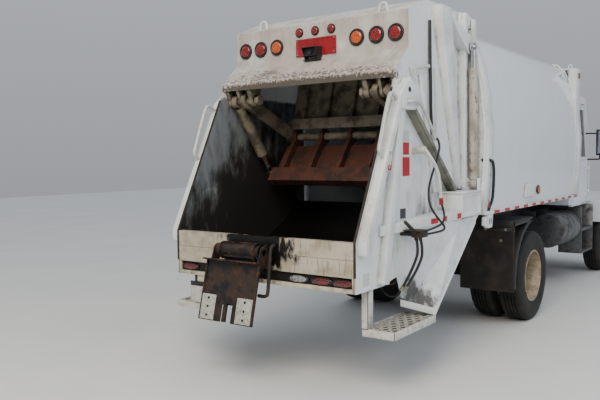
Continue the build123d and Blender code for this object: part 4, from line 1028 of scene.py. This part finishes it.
class TRUCK_OT_sill(bpy.types.Operator):
    """Builds the lamp ledge, the blank plates and the reflective strips at the rear"""
    bl_idname = "truck.sill"
    bl_label = "Build the sill's fittings"

    def execute(self, context):
        ledge = [block(0.004, 0.032, -LEDGE_END, LEDGE_END, 0.860, 0.893)]
        for s in SIDES:
            ledge.append(block(0.000, 0.034, s * 0.925, s * LEDGE_END, 0.862, 0.985))
        ledge.append(block(0.022, 0.032, 0.470, 0.760, 0.770, 0.862))
        settle(ledge, "lamp_ledge", made_of(sill_enamel), "tailgate")
        plate = block(0.012, 0.015, 0.505, 0.810, 0.606, 0.758)
        inset_faces(plate, looks_back, [(0.006, 0.001)])
        holder = block(0.015, 0.020, 0.500, 0.815, 0.600, 0.800)
        stays = [block(0.020, 0.030, y - 0.015, y + 0.015, 0.640, 0.870) for y in (0.560, 0.750)]
        settle([plate], "blank_licence_plate", made_of(plate_paint), "tailgate", 0.0006)
        settle([holder, *stays], "licence_bracket", made_of(chassis_paint), "tailgate",
               0.001)
        labels = [block(0.765, 0.895, -LABEL_FACE, -0.960, 1.744, 1.905),
                  block(0.775, 0.885, -LABEL_FACE, -0.960, 1.925, 2.030)]
        settle(labels, "red_side_labels", made_of(red_film), "tailgate", 0)
        pale = [block(0.775, 0.885, -LABEL_FACE, -0.960, 2.040, 2.130),
                block(0.100, 0.200, -LABEL_FACE, -0.960, 0.905, 1.000)]
        settle(pale, "pale_side_labels", made_of(vinyl_sheet, "pale", "#b9bcb8"), "tailgate",
               0)
        dark = [block(0.720, 0.820, -LABEL_FACE, -0.960, 1.385, 1.470)]
        settle(dark, "dark_side_label", made_of(vinyl_sheet, "dark", "#24262b"), "tailgate",
               0)
        tapes = {"red": [], "white": []}
        slope = Vector((1.13, 0.209, 0.060))
        tall = looks().tape_height
        for s in SIDES:
            for x0, x1, colour in ((1.010, 1.110, "red"), (1.112, 1.210, "white"), (1.215, 1.245, "red"),
                                   (1.300, 1.395, "white"), (1.405, 1.462, "red")):
                corners = []
                for x in (x0, x1):
                    share = (x - 0.35) / slope.x
                    corners.append((x, 0.986 + share * slope.y, 1.286 + share * slope.z))
                (xa, ya, za), (xb, yb, zb) = corners
                tapes[colour].append(prism([at(xa, s * ya, za), at(xb, s * yb, zb), at(xb, s * yb, zb + tall),
                                            at(xa, s * ya, za + tall)], (0, s * FILM, 0)))
        for colour, pieces in tapes.items():
            film, slot = made_of(white_film), "white_paint"
            if colour == "red":
                film, slot = made_of(red_film), "red_lens"
            settle(pieces, "beam_tape_" + colour, film, "tailgate", 0)
        return {"FINISHED"}


# Bars, pipes and hoses: each one's radius and the points that it passes.
# The bars stand on both sides; the pipes and hoses only on the right.
RAILS = (
    (0.0160, ((0.640, 1.005, 2.345), (0.560, 1.005, 2.400), (0.480, 1.005, 2.430), (0.440, 1.005, 2.370),
              (0.360, 1.005, 2.170), (0.300, 1.005, 2.010), (0.282, 1.005, 1.960), (0.320, 1.005, 1.920),
              (0.400, 1.005, 1.880))),
    (0.0135, ((0.700, 1.035, 2.362), (0.700, 1.072, 2.362), (0.800, 1.074, 2.375), (0.900, 1.074, 2.350),
              (1.100, 1.074, 2.150), (1.180, 1.060, 2.075), (1.190, 0.962, 2.070))),
)
PIPES = (
    (0.0090, ((1.300, -1.000, 2.700), (1.320, -1.000, 2.500), (1.340, -1.000, 2.300),
              (1.350, -0.990, 2.075))),
    (0.0085, ((0.975, -0.984, 2.668), (1.080, -0.984, 2.684), (1.200, -0.984, 2.704))),
    (0.0075, ((0.884, -0.964, 2.677), (0.936, -0.990, 2.575))),
    (0.0075, ((0.990, -0.964, 2.677), (0.936, -0.990, 2.575))),
    (0.0150, ((0.965, -1.060, 1.985), (0.972, -1.130, 1.893), (1.040, -1.162, 1.772), (1.050, -1.172, 1.634),
              (1.056, -1.182, 1.508))),
)
HOSES = (
    (0.0150, ((1.274, -0.970, 3.120), (1.268, -0.976, 2.800), (1.262, -0.985, 2.500),
              (1.262, -0.985, 2.300), (1.262, -1.000, 2.096))),
    (0.0100, ((1.261, -1.048, 2.068), (1.252, -1.085, 2.020), (1.170, -1.090, 1.880), (0.990, -1.105, 1.700),
              (0.905, -1.130, 1.574), (0.885, -1.160, 1.480), (0.920, -1.212, 1.385), (1.015, -1.240, 1.305),
              (0.950, -1.240, 1.272), (0.760, -1.169, 1.262))),
    (0.0100, ((1.056, -1.184, 1.503), (1.062, -1.205, 1.430), (1.030, -1.222, 1.360), (0.930, -1.225, 1.318),
              (0.760, -1.170, 1.290))),
    (0.0120, ((0.660, -1.138, 1.250), (0.690, -1.146, 1.138), (0.676, -1.122, 1.039), (0.640, -1.070, 0.900),
              (0.626, -1.014, 0.796))),
    (0.0120, ((0.660, -1.176, 1.250), (0.704, -1.182, 1.128), (0.700, -1.150, 1.020), (0.646, -1.094, 0.880),
              (0.640, -1.040, 0.800))),
    (0.0110, ((0.634, -1.010, 0.800), (0.640, -0.985, 0.742), (0.650, -0.880, 0.735), (0.690, -0.790, 0.800),
              (0.690, -0.790, 0.944))),
)
BODY_HOSE = (0.0150, ((2.062, -1.150, 1.868), (2.119, -1.235, 1.882), (2.162, -1.240, 1.800),
                      (2.160, -1.238, 1.650),
                      (2.153, -1.232, 1.480), (2.150, -1.200, 1.400), (2.150, -1.186, 1.360)))


class TRUCK_OT_controls(bpy.types.Operator):
    """Builds the grab rails, the control levers and the hydraulic hoses"""
    bl_idname = "truck.controls"
    bl_label = "Build the rails, levers and hoses"

    def execute(self, context):
        rails = [tube([(x, s * y, z) for x, y, z in points], radius)
                 for s in SIDES for radius, points in RAILS]
        feet = [puck(at(x, s * y, z), (0, s, 0), 0.028, 0.006) for s in SIDES for x, y, z in
                ((1.190, 0.959, 2.070), (0.700, 1.043, 2.362))]
        settle(rails + feet, "grab_bars", made_of(rail_paint), "tailgate", 0, ("grab_rails",))
        pipes = [tube(points, radius) for radius, points in PIPES]
        pipes.append(block(1.225, 1.300, -1.040, -SKIN, 2.052, 2.094))
        pipes.append(puck(at(0.968, -SKIN, 1.965), (0, -1, 0), 0.034, 0.110,
                          [(0.006, 0.006), (0.010, 0.0)]))
        pipes.append(puck(at(1.200, -0.975, 2.704), (0, -1, 0), 0.016, 0.024, [(0.005, 0.006)], 6))
        pipes.append(puck(at(1.286, -1.000, 2.086), (0, 0, 1), 0.018, 0.030, [(0.004, 0.006)], 6))
        settle(pipes, "control_linkage", made_of(rail_paint), "tailgate", 0.001,
               ("hydraulic_lines",))
        valve = [block(0.604, 0.760, -1.206, -1.043, 1.298, 1.306),
                 block(0.622, 0.752, -1.200, -1.112, 1.246, 1.298),
                 block(0.640, 0.735, -1.112, -1.000, 1.255, 1.290),
                 loft([at(0.640, -1.140, 1.262), at(0.640, -1.165, 1.262), at(0.650, -1.165, 1.285),
                       at(0.650, -1.140, 1.285)],
                      [at(0.420, -1.146, 1.388), at(0.420, -1.166, 1.388), at(0.430, -1.166, 1.405),
                       at(0.430, -1.146, 1.405)])]
        valve += [puck(at(x, y, 1.246), (0, 0, -1), 0.017, 0.022, [(0.003, 0.004)], 6)
                  for x, y in ((0.660, -1.138), (0.660, -1.176))]
        settle(valve, "valve_block", made_of(cast_iron), "tailgate", 0.002)
        hoses = [tube(points, radius) for radius, points in HOSES]
        rubber = made_of(hose_rubber)
        settle(hoses, "control_hoses", rubber, "tailgate", 0, ("hydraulic_hoses",))
        radius, points = BODY_HOSE
        settle([tube(points, radius)], "lift_hose", rubber, "chassis", 0)
        ends = [puck(at(*points[-1]), Vector(points[-2]) - Vector(points[-1]), radius * 1.35, 0.040,
                     [(radius * 0.2, 0.004)], 16)
                for radius, points in HOSES[3:5]]
        lever = tube([(0.395, -1.040, 1.950), (0.402, -1.065, 1.945), (0.350, -1.068, 1.825)], 0.006)
        settle(ends + [lever], "hose_ferrules", made_of(zinc_fastener), "tailgate", 0)
        # The knob and the sleeve take the red lens material and its faint glow: painted light on parts that
        # are no lamps.
        knob = puck(at(0.356, -1.066, 1.840), (-0.38, 0, -0.92), 0.014, 0.034, [(0.004, 0.004)], 16)
        sleeve = puck(at(1.056, -1.182, 1.490), (0.02, 0.06, 1), 0.019, 0.060, [(0.003, 0.002)], 16)
        settle([knob, sleeve], "lever_knob", lens_of("red"), "tailgate", 0.002)
        return {"FINISHED"}


class TRUCK_OT_steps(bpy.types.Operator):
    """Builds the rear steps with their open grating"""
    bl_idname = "truck.steps"
    bl_label = "Build the rear steps"

    def execute(self, context):
        x0, x1, y0, y1, z0, z1 = 0.207, 0.957, 0.883, 1.179, 0.487, 0.551
        wall = 0.008
        frames, bars = [], []
        for s in SIDES:
            frames += [block(x0, x1, s * y0, s * (y0 + wall), z0, z1),
                       block(x0, x1, s * (y1 - wall), s * y1, z0, z1),
                       block(x0, x0 + wall, s * y0, s * y1, z0, z1),
                       block(x1 - wall, x1, s * y0, s * y1, z0, z1)]
            frames += [block(0.207, 0.290, s * 0.936, s * 0.944, 0.540, 0.870),
                       block(0.207, 0.215, s * 0.885, s * 0.944, 0.540, 0.870)]
            rows, teeth = 7, 22
            pitch = (x1 - x0 - 2 * wall) / teeth
            gap = (y1 - y0 - 2 * wall) / rows
            for row in range(rows):
                middle = y0 + wall + gap * (row + 0.5)
                line = []
                for k in range(teeth + 1):
                    swing = 0.42 * gap * (1 if (k // 2 + row) % 2 else -1)
                    line.append((x0 + wall + k * pitch, s * (middle + swing)))
                rail = [at(x, y - 0.003, z1 - 0.014) for x, y in line]
                rail += [at(x, y + 0.003, z1 - 0.014) for x, y in reversed(line)]
                bars.append(prism(rail, (0, 0, 0.010)))
                top = z1 - 0.006 + looks().step_tooth
                tooth = loft([at(x0, y, z1 - 0.006) + Vector((x, 0, 0)) for x, y in
                              ((0.0, -0.004), (0.013, -0.004), (0.013, 0.004), (0.0, 0.004))],
                             [at(x0, y, top) + Vector((x, 0, 0)) for x, y in
                              ((0.003, -0.003), (0.010, -0.003), (0.010, 0.003), (0.003, 0.003))])
                bars += copied(tooth, [Matrix.Translation((x - x0 - 0.006, y, 0)) for x, y in line[1:-1]])
        settle(frames, "step_frames", made_of(step_paint), "tailgate", 0.002, ("rear_steps",))
        # A dark sheet under the grating: painted shade below the open grating.
        under = [block(x0 + wall, x1 - wall, s * (y0 + wall), s * (y1 - wall), z0 + 0.004, z0 + 0.008)
                 for s in SIDES]
        settle(bars, "step_grating", made_of(step_steel), "tailgate", 0)
        settle(under, "step_shade_trays", made_of(fender_plastic), "tailgate", 0.001)
        return {"FINISHED"}


class TRUCK_OT_lifter(bpy.types.Operator):
    """Builds the wear pads, the rim and the catch of the cart lifter"""
    bl_idname = "truck.lifter"
    bl_label = "Build the lifter's fittings"

    def execute(self, context):
        top, low = Vector((-0.165, 1.060)), Vector((-0.290, 0.560))
        out = Vector((low.y - top.y, 0, top.x - low.x)).normalized()

        def spot(share, y):
            place = top.lerp(low, share)
            return at(place.x, y, place.y)

        def sheet(high, low, y0, y1, thick):
            return prism([spot(high, y0), spot(high, y1), spot(low, y1), spot(low, y0)], out * thick)

        pads, bolts = [], []
        for y0, y1 in ((0.255, 0.410), (-0.150, 0.020)):
            pads.append(sheet(0.58, 0.985, y0, y1, 0.010))
            for share in (0.64, 0.78, 0.92):
                bolts.append(puck(spot(share, (y0 + y1) / 2) + out * 0.010, out, 0.011, 0.003,
                                  [(0.003, -0.002)], 12))
        settle(pads, "lifter_pads", made_of(wear_pad), "cart_lifter", 0.003)
        bars = [sheet(0.0, 1.0, y, y + 0.014, 0.012) for y in (-0.160, 0.406)]
        bars.append(sheet(0.02, 0.05, 0.06, 0.36, 0.006))
        bars.append(sheet(0.70, 0.99, 0.115, 0.145, 0.030))
        settle(bars, "lifter_rim", made_of(rusted_steel), "cart_lifter", 0.002)
        heads = [puck(at(-0.012, y, z), (-1, 0, 0), 0.016, 0.012, [(0.003, 0.002)], 6)
                 for y in (-0.085, 0.345) for z in (1.010, 1.170)]
        settle(bolts, "pad_bolts", made_of(cast_iron), "cart_lifter", 0)
        settle(heads, "mount_bolts", made_of(cast_iron), "tailgate", 0)
        catch = tube([(-0.006, -0.185, 1.190), (-0.040, -0.185, 1.195), (-0.060, -0.180, 1.150),
                      (-0.075, -0.176, 0.950),
                      (-0.085, -0.172, 0.820), (-0.095, -0.170, 0.780), (-0.100, -0.120, 0.772),
                      (-0.100, -0.080, 0.776)], 0.015)
        settle([catch], "lifter_catch", made_of(cast_iron), "tailgate", 0)
        return {"FINISHED"}


REAR_AXLE, FRONT_AXLE, TYRE_R = 3.543, 7.660, 0.516
# How many nuts and hand holes a wheel has, and how far they sit from its middle.
NUTS, NUT_RING, HAND_HOLES, HOLE_RING = 10, 0.143, 8, 0.195
CROWN_R, GROOVE_R = 0.509, 0.498
# Half of a tyre's outline as (distance from its middle, radius), bead to crown, and its tread grooves.
TYRE_HALF = [(0.108, 0.286), (0.108, 0.300), (0.124, 0.330), (0.135, 0.375), (0.137, 0.400), (0.134, 0.436),
             (0.128, 0.470), (0.119, 0.494), (0.108, 0.506), (0.094, 0.509)]
GROOVES = (0.056, 0.019)
WHEEL_BODIES = (("rear_left_wheels", REAR_AXLE, 1, (0.752, 1.091), "tyres_rear_left", "rims_rear_left"),
                ("rear_right_wheels", REAR_AXLE, -1, (0.752, 1.091), "tyres_rear_right", "rims_rear_right"),
                ("front_left_wheel", FRONT_AXLE, 1, (1.000,), "tyre_front_left", "rim_front_left"),
                ("front_right_wheel", FRONT_AXLE, -1, (1.000,), "tyre_front_right", "rim_front_right"))


class TRUCK_OT_wheels(bpy.types.Operator):
    """Builds the tyres with their tread blocks, the rims, wheel nuts, and dark discs painted as the shade in
    the hand holes
    """
    bl_idname = "truck.wheels"
    bl_label = "Build the wheels"

    def execute(self, context):
        for body, station, s, rows, tyre_node, rim_node in WHEEL_BODIES:
            tyre = self.tyre(station)
            tyres = copied(tyre, [Matrix.Translation((0, s * row, 0)) for row in rows])
            settle(tyres, body + "_tyres", made_of(tyre_rubber), body, 0, (tyre_node,), 50)
            smoothed(rim_node, 30, made_of(wheel_enamel))
            rear = station == REAR_AXLE
            face_y = 0.974 if rear else 1.083
            nut = puck(at(station, s * face_y, TYRE_R + NUT_RING), (0, s, 0), 0.019, 0.022,
                       [(0.003, 0.002), (0.004, 0.012)], 6)
            washer = puck(at(station, s * (face_y - 0.004), TYRE_R + NUT_RING), (0, s, 0), 0.025, 0.008,
                          sides=16)
            turns = around(station, TYRE_R, NUTS)
            nuts = copied(nut, turns) + copied(washer, turns)
            nuts.append(puck(at(station, s * (1.079 if rear else 1.114), TYRE_R), (0, s, 0), 0.060, 0.008,
                             [(0.010, 0.003), (0.030, -0.002)], 32))
            settle(nuts, body + "_nuts", made_of(zinc_fastener), body, 0.0006)
            # The hand holes are dark discs: painted shade in place of open holes.
            hole_y, tilt = (0.957, 0.40) if rear else (1.083, 0.03)
            hole_shade = puck(at(station, s * hole_y, TYRE_R + HOLE_RING), (0, s, tilt), 0.026, 0.002,
                        [(0.004, -0.001)], 24)
            hole_shades = copied(hole_shade, around(station, TYRE_R, HAND_HOLES, 0.2))
            settle(hole_shades, body + "_hand_hole_shades", made_of(fender_plastic), body, 0)
        return {"FINISHED"}

    def tyre(self, station):
        tread = []
        for place in GROOVES:
            tread += [(place + 0.006, CROWN_R), (place + 0.004, GROOVE_R), (place - 0.004, GROOVE_R),
                      (place - 0.006, CROWN_R)]
        half = TYRE_HALF + tread
        profile = [(-y, r) for y, r in half] + [(y, r) for y, r in reversed(half)]
        tyre = spun(profile, station, TYRE_R, steps=72)
        hub = at(station, 0, TYRE_R)

        def on_tread(middle, normal):
            away = Vector((middle.x - hub.x, 0, middle.z - hub.z))
            return abs(away.length - 0.5085) < 0.0012 and normal.dot(away.normalized()) > 0.9

        open_edit(tyre)
        pick(tyre, on_tread)
        bpy.ops.mesh.inset(thickness=0.003, depth=looks().tread_depth, use_individual=True)
        close_edit(tyre)
        return tyre


class TRUCK_OT_fenders(bpy.types.Operator):
    """Builds the moulded fenders and mud flaps round the rear wheels"""
    bl_idname = "truck.fenders"
    bl_label = "Build the rear fenders"

    def execute(self, context):
        guards, flaps, bolts = [], [], []
        for s in SIDES:
            section = [(0.610, 0.678), (1.210, 0.678), (1.210, 0.650), (1.225, 0.650), (1.225, 0.684),
                       (1.219, 0.690), (0.610, 0.690)]
            guards.append(spun([(s * y, r) for y, r in section], REAR_AXLE, TYRE_R, math.radians(90), 24,
                               math.radians(-5)))
            guards.append(side_prism(s, [(2.840, 1.193), (3.490, 1.193), (3.490, 1.206), (2.846, 1.206)],
                                     0.610, 1.225))
            guards.append(block(2.840, 2.852, s * 0.610, s * 1.225, 1.080, 1.206))
            guards.append(side_prism(s, [(2.840, 1.200), (3.490, 1.200), (3.490, 1.165), (2.860, 1.150),
                                         (2.840, 1.100)], 1.212, 1.225))
            for x in (2.900, 3.950):
                guards.append(block(x, x + 0.04, s * 0.430, s * 0.640, 1.085, 1.110 if x > 3 else 1.198))
            flap = block(2.828, 2.838, s * 0.612, s * 1.222, 0.430, 1.150)
            flaps.append(inset_faces(flap, lambda middle, normal: abs(normal.x) > 0.9,
                                     [(0.014, 0.0), (0.003, -0.002)]))
            guards.append(block(2.820, 2.828, s * 0.640, s * 1.200, 1.090, 1.130))
            for y, z in ((0.700, 1.110), (0.910, 1.110), (1.130, 1.110), (1.080, 0.990)):
                bolts.append(puck(at(2.822, s * y, z), (-1, 0, 0), 0.016, 0.006,
                                  [(0.006, 0.001), (0.002, 0.006)], 12))
        settle(guards, "rear_fender_shells", made_of(fender_plastic), "chassis", 0.002,
               ("rear_fenders",), 40)
        settle(flaps, "mud_flaps", made_of(flap_rubber), "chassis", 0.001)
        settle(bolts, "flap_bolts", made_of(zinc_fastener), "chassis", 0)
        return {"FINISHED"}


# The tape on the body's rails: its period, how often it repeats, and the rails' outer face.
TAPE_PERIOD, TAPE_PAIRS, RAIL_FACE = 0.305, 11, 1.2005


class TRUCK_OT_body_details(bpy.types.Operator):
    """Rounds the body's shell and builds its pillars, lamp housings, tape, foot brackets and markers"""
    bl_idname = "truck.body_details"
    bl_label = "Build the body's details"

    def execute(self, context):
        smoothed("body_shell", 40, made_of(body_enamel))
        smoothed("body_frames", 40, made_of(frame_enamel), 0.004)
        smoothed("body_sills", 30, made_of(frame_enamel), 0.004)
        smoothed("ejector_panel", 30, made_of(scoured_plate), 0.004)
        shells, rings, lenses, feet, slot_shades = [], [], [], [], []
        pillars = []
        for s in SIDES:
            pillars.append(side_prism(s, [(5.395, 1.366), (5.628, 1.366), (5.628, 3.060), (5.600, 3.098),
                                          (5.470, 3.098), (5.440, 3.060)], 1.080, 1.192))
            pillars.append(side_prism(s, [(5.500, 3.080), (5.628, 3.080), (5.628, 3.110), (5.500, 3.110)],
                                      0.900, 1.150))
            rear_end = [at(3.300, s * y, z) for y, z in ((1.170, 1.440), (1.190, 1.440), (1.196, 1.590),
                                                         (1.176, 1.590))]
            front_end = [at(3.695, s * y, z) for y, z in ((1.170, 1.440), (1.226, 1.440), (1.226, 1.575),
                                                          (1.176, 1.585))]
            shells.append(loft(rear_end, front_end))
            spot = at(3.640, s * 1.224, 1.512)
            rings.append(puck(spot, (0, s, 0), 0.052, 0.010, [(0.004, 0.005), (0.007, -0.003)], 32))
            lenses.append(puck(spot, (0, s, 0), 0.039, 0.014, [(0.005, 0.003), (0.012, 0.001)], 32))
            spot = at(5.560, s * 1.190, 3.000)
            rings.append(puck(spot, (0, s, 0), 0.038, 0.010, [(0.005, 0.0)], 24))
            lenses.append(puck(spot, (0, s, 0), 0.029, 0.016, [(0.006, 0.003)], 24))
            feet.append(side_prism(s, [(2.130, 1.327), (2.280, 1.327), (2.255, 1.192), (2.145, 1.192)],
                                   1.150, 1.192))
            # Dark ovals where the foot brackets have slots: painted shade in place of the slots.
            for x in (2.175, 2.225):
                slot_shades.append(puck(at(x, s * 1.1925, 1.262), (0, s, 0), 0.010, 0.0015, [(0.002, -0.0005)], 12,
                                  (1, 1, 3.4)))
            feet.append(side_prism(s, [(2.062, 1.300), (2.130, 1.320), (2.130, 1.200), (2.062, 1.225)],
                                   1.155, 1.185))
            feet.append(tube([(5.560, s * 1.050, 3.100), (5.560, s * 1.050, 3.165), (5.560, s * 1.095, 3.165),
                              (5.560, s * 1.095, 3.100)], 0.010))
        settle(pillars, "body_front_pillars", made_of(frame_enamel), "chassis", 0.010)
        settle(shells, "side_lamp_housings", made_of(frame_enamel), "chassis", 0.006)
        settle(rings, "side_lamp_grommets", made_of(black_plastic), "chassis", 0.001)
        settle(lenses, "side_lamp_lenses", lens_of("amber"), "chassis", 0.001, ("side_lamps",))
        settle(feet, "body_foot_brackets", made_of(frame_enamel), "chassis", 0.002)
        settle(slot_shades, "bracket_slot_shades", made_of(fender_plastic), "chassis", 0)
        red, white = [], []
        for s in SIDES:
            film = (s * RAIL_FACE, s * (RAIL_FACE + FILM), 1.330, 1.361)
            for k in range(TAPE_PAIRS):
                x = 2.290 + TAPE_PERIOD * k
                red.append(block(x, x + 0.150, *film))
                white.append(block(x + 0.151, min(x + TAPE_PERIOD - 0.001, 5.618), *film))
            red.append(block(2.066, 2.090, s * 1.2225, s * 1.2235, 1.400, 1.480))
        settle(red, "rail_tape_red", made_of(red_film), "chassis", 0)
        settle(white, "rail_tape_white", made_of(white_film), "chassis", 0)
        return {"FINISHED"}


# Nodes that are rounded: each one's finish, slot and bevel.
CAB_NODES = (
    ("cab_shell", body_enamel, "white_paint", 0.0), ("door_left", body_enamel, "white_paint", 0.003),
    ("door_right", body_enamel, "white_paint", 0.003), ("hood", body_enamel, "white_paint", 0.0),
    ("mirror_left", black_plastic, "black_plastic", 0.006),
    ("mirror_right", black_plastic, "black_plastic", 0.006), ("fuel_tanks", tank_metal, "tank_metal", 0.002),
    ("front_bumper", chassis_paint, "chassis_black", 0.002))


class TRUCK_OT_cab(bpy.types.Operator):
    """Rounds the cab's panels and builds its handles, mirror faces, wipers and roof lamps"""
    bl_idname = "truck.cab"
    bl_label = "Build the cab's details"

    def execute(self, context):
        for node, maker, slot, bevel in CAB_NODES:
            smoothed(node, 35, made_of(maker), bevel)
        bars, lamps, wipers, latches = [], [], [], []
        nodes = frame["nodes"]
        for s, side in ((1, "left"), (-1, "right")):
            bars.append(tube([(5.935, s * 1.000, 1.480), (5.935, s * 1.055, 1.500), (5.935, s * 1.055, 1.765),
                              (5.935, s * 1.055, 2.030), (5.935, s * 1.000, 2.050)], 0.014))
            face = block(6.884, 6.889, s * 1.150, s * 1.310, 1.930, 2.270)
            settle([face], "mirror_face_" + side, made_of(silvered_glass),
                   nodes["mirror_" + side]["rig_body"], 0)
            grip = block(6.060, 6.190, s * 1.000, s * 1.030, 1.560, 1.590)
            settle([grip], "door_pull_" + side, made_of(black_plastic), nodes["door_" + side]["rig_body"],
                   0.002)
            wipers.append(tube([(7.060, s * 0.30, 1.800), (6.990, s * 0.32, 1.930), (6.900, s * 0.55, 2.200)],
                               0.008))
            lamps += [self.marker(s * y) for y in (0.28, 0.56)]
            latches.append(block(7.300, 7.330, s * 0.640, s * 0.652, 1.300, 1.420))
        lamps.append(self.marker(0))
        settle(bars, "cab_grab_bars", made_of(rail_paint), "chassis", 0)
        settle(wipers, "wipers", made_of(black_plastic), "chassis", 0.002)
        settle(latches, "hood_latches", made_of(black_plastic), nodes["hood"]["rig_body"],
               0.002)
        settle(lamps, "roof_marker_lamps", lens_of("amber"), "chassis", 0.001)
        return {"FINISHED"}

    def marker(self, y):
        """A low oval marker lamp on the cab's roof."""
        return puck(at(6.640, y, 2.788), (0, 0, 1), 0.045, 0.030, [(0.012, 0.008)], 20, (1.4, 1, 1))


def colour_choice(name, description, code):
    return FloatVectorProperty(name=name, description=description, default=linear(code), size=4, min=0.0,
                               max=1.0, subtype="COLOR")


def size_choice(name, description, metres):
    return FloatProperty(name=name, description=description, default=metres, min=0.001, subtype="DISTANCE",
                         unit="LENGTH")


class TruckLooks(bpy.types.PropertyGroup):
    """Colours and sizes of the truck that a user may want to change."""
    body_white: colour_choice("Body white", "Enamel on the body, the doors and the hood", "#d9dee3")
    plaque_red: colour_choice("Plaque red", "Enamel on the header's blank plaque", "#8e141d")
    tape_red: colour_choice("Tape red", "Red parts of the reflective tape and the side labels", "#a3131c")
    round_lamp: size_choice("Round lamp", "Radius of a round lamp's rubber grommet", 0.077)
    small_lamp: size_choice("Small lamp", "Radius of a small lamp's rubber grommet", 0.044)
    tread_depth: size_choice("Tread depth", "Height of a tread block above its edge", 0.0065)
    tape_height: size_choice("Tape height", "Height of the tape on the tailgate's beams", 0.048)
    step_tooth: size_choice("Step tooth", "Height of the teeth on the step grating", 0.009)


class TruckStage(bpy.types.PropertyGroup):
    """Where the truck is seen from, and the studio round it."""
    eye: FloatVectorProperty(name="Eye", description="Place of the camera",
                             default=at(-4.400, -3.640, 1.903), subtype="TRANSLATION", unit="LENGTH")
    heading: FloatProperty(name="Heading", description="Turn from forward towards the left",
                           default=math.radians(35.995), subtype="ANGLE", unit="ROTATION")
    dip: FloatProperty(name="Dip", description="How far the camera looks down",
                       default=math.radians(3.487), subtype="ANGLE", unit="ROTATION")
    roll: FloatProperty(name="Roll", description="Turn of the picture about its middle",
                        default=math.radians(-0.640), subtype="ANGLE", unit="ROTATION")
    lens: FloatProperty(name="Lens", description="Focal length on a 36 mm wide sensor, in mm", default=40.89)
    floor: FloatProperty(name="Floor", description="Width of the floor", default=60.0, subtype="DISTANCE",
                         unit="LENGTH")
    sky: FloatProperty(name="Sky", description="Brightness of the studio's soft surround", default=0.8)


# Each soft lamp: name, place, target, width, watts and colour.
SOFT_LAMPS = (("key", (-7.0, -3.0, 8.0), (1.0, 0.0, 1.4), 6.0, 1150.0, "#fff3e2"),
              ("side_fill", (2.0, -10.0, 6.5), (2.5, -1.0, 1.2), 8.0, 420.0, "#e4edff"))


class TRUCK_OT_stage(bpy.types.Operator):
    """Makes the camera, the pale floor and the soft studio light"""
    bl_idname = "truck.stage"
    bl_label = "Build the studio"

    def execute(self, context):
        stage = context.scene.truck_stage
        clear_selection()
        bpy.ops.object.camera_add()
        camera = context.object
        camera.name = "Camera"
        camera.data.sensor_width = 36.0
        camera.data.lens = stage.lens
        camera.data.clip_end = 200.0
        flat = math.cos(stage.dip)
        look = Vector((math.cos(stage.heading) * flat, math.sin(stage.heading) * flat, -math.sin(stage.dip)))
        side = Vector((math.sin(stage.heading), -math.cos(stage.heading), 0))
        over = side.cross(look)
        right = math.cos(stage.roll) * side + math.sin(stage.roll) * over
        up = math.cos(stage.roll) * over - math.sin(stage.roll) * side
        turn = Matrix((right, up, -look)).transposed().to_4x4()
        camera.matrix_world = Matrix.Translation(stage.eye) @ turn
        context.scene.camera = camera

        clear_selection()
        bpy.ops.mesh.primitive_plane_add(size=stage.floor, location=(0, 0, 0))
        floor = context.object
        floor.name = "floor"
        floor.data.materials.append(studio_floor())

        self.sky(context.scene, stage.sky)
        for name, place, target, size, power, code in SOFT_LAMPS:
            self.lamp(name, at(*place), at(*target), size, power, code)
        return {"FINISHED"}

    def sky(self, scene, strength):
        world = bpy.data.worlds.new("studio_surround")
        world.use_nodes = True
        tree = world.node_tree
        tree.nodes.clear()
        way = add(tree, "ShaderNodeTexCoord")
        parts = add(tree, "ShaderNodeSeparateXYZ", {0: way.outputs["Generated"]})
        rise = add(tree, "ShaderNodeMapRange", {0: parts.outputs[2], 1: -0.05, 2: 0.7})
        tint = add(tree, "ShaderNodeMix", {0: rise.outputs[0], 6: linear("#b4b8bb"), 7: linear("#eaf1fb")},
                   data_type="RGBA")
        back = add(tree, "ShaderNodeBackground", {0: tint.outputs[2], 1: strength})
        out = add(tree, "ShaderNodeOutputWorld")
        tree.links.new(back.outputs[0], out.inputs[0])
        scene.world = world

    def lamp(self, name, place, target, size, power, code):
        clear_selection()
        bpy.ops.object.light_add(type="AREA", location=place)
        lamp = bpy.context.object
        lamp.name = name
        lamp.data.size = size
        lamp.data.energy = power
        lamp.data.color = linear(code)[:3]
        lamp.rotation_mode = "QUATERNION"
        lamp.rotation_quaternion = (target - place).to_track_quat("-Z", "Y")


OPERATORS = (TRUCK_OT_stage, TRUCK_OT_finishes, TRUCK_OT_tailgate_side, TRUCK_OT_guards, TRUCK_OT_header,
             TRUCK_OT_sill, TRUCK_OT_controls, TRUCK_OT_steps, TRUCK_OT_lifter, TRUCK_OT_wheels,
             TRUCK_OT_fenders, TRUCK_OT_body_details, TRUCK_OT_cab)


class TRUCK_PT_sidebar(bpy.types.Panel):
    """Lists the steps that dress the truck"""
    bl_label = "Refuse Truck"
    bl_idname = "TRUCK_PT_sidebar"
    bl_space_type = "VIEW_3D"
    bl_region_type = "UI"
    bl_category = "Refuse Truck"

    def draw(self, context):
        looks, stage = context.scene.truck_looks, context.scene.truck_stage
        for group in (looks, stage):
            for name in type(group).__annotations__:
                self.layout.prop(group, name)
        for operator in OPERATORS:
            self.layout.operator(operator.bl_idname)


CLASSES = (TruckLooks, TruckStage, *OPERATORS, TRUCK_PT_sidebar)


def register():
    for item in CLASSES:
        bpy.utils.register_class(item)
    bpy.types.Scene.truck_looks = PointerProperty(type=TruckLooks)
    bpy.types.Scene.truck_stage = PointerProperty(type=TruckStage)


def unregister():
    del bpy.types.Scene.truck_stage
    del bpy.types.Scene.truck_looks
    for item in reversed(CLASSES):
        bpy.utils.unregister_class(item)


def main():
    register()
    for operator in OPERATORS:
        step = operator.bl_idname.split(".")[1]
        getattr(bpy.ops.truck, step)()


if __name__ == "__main__":
    main()
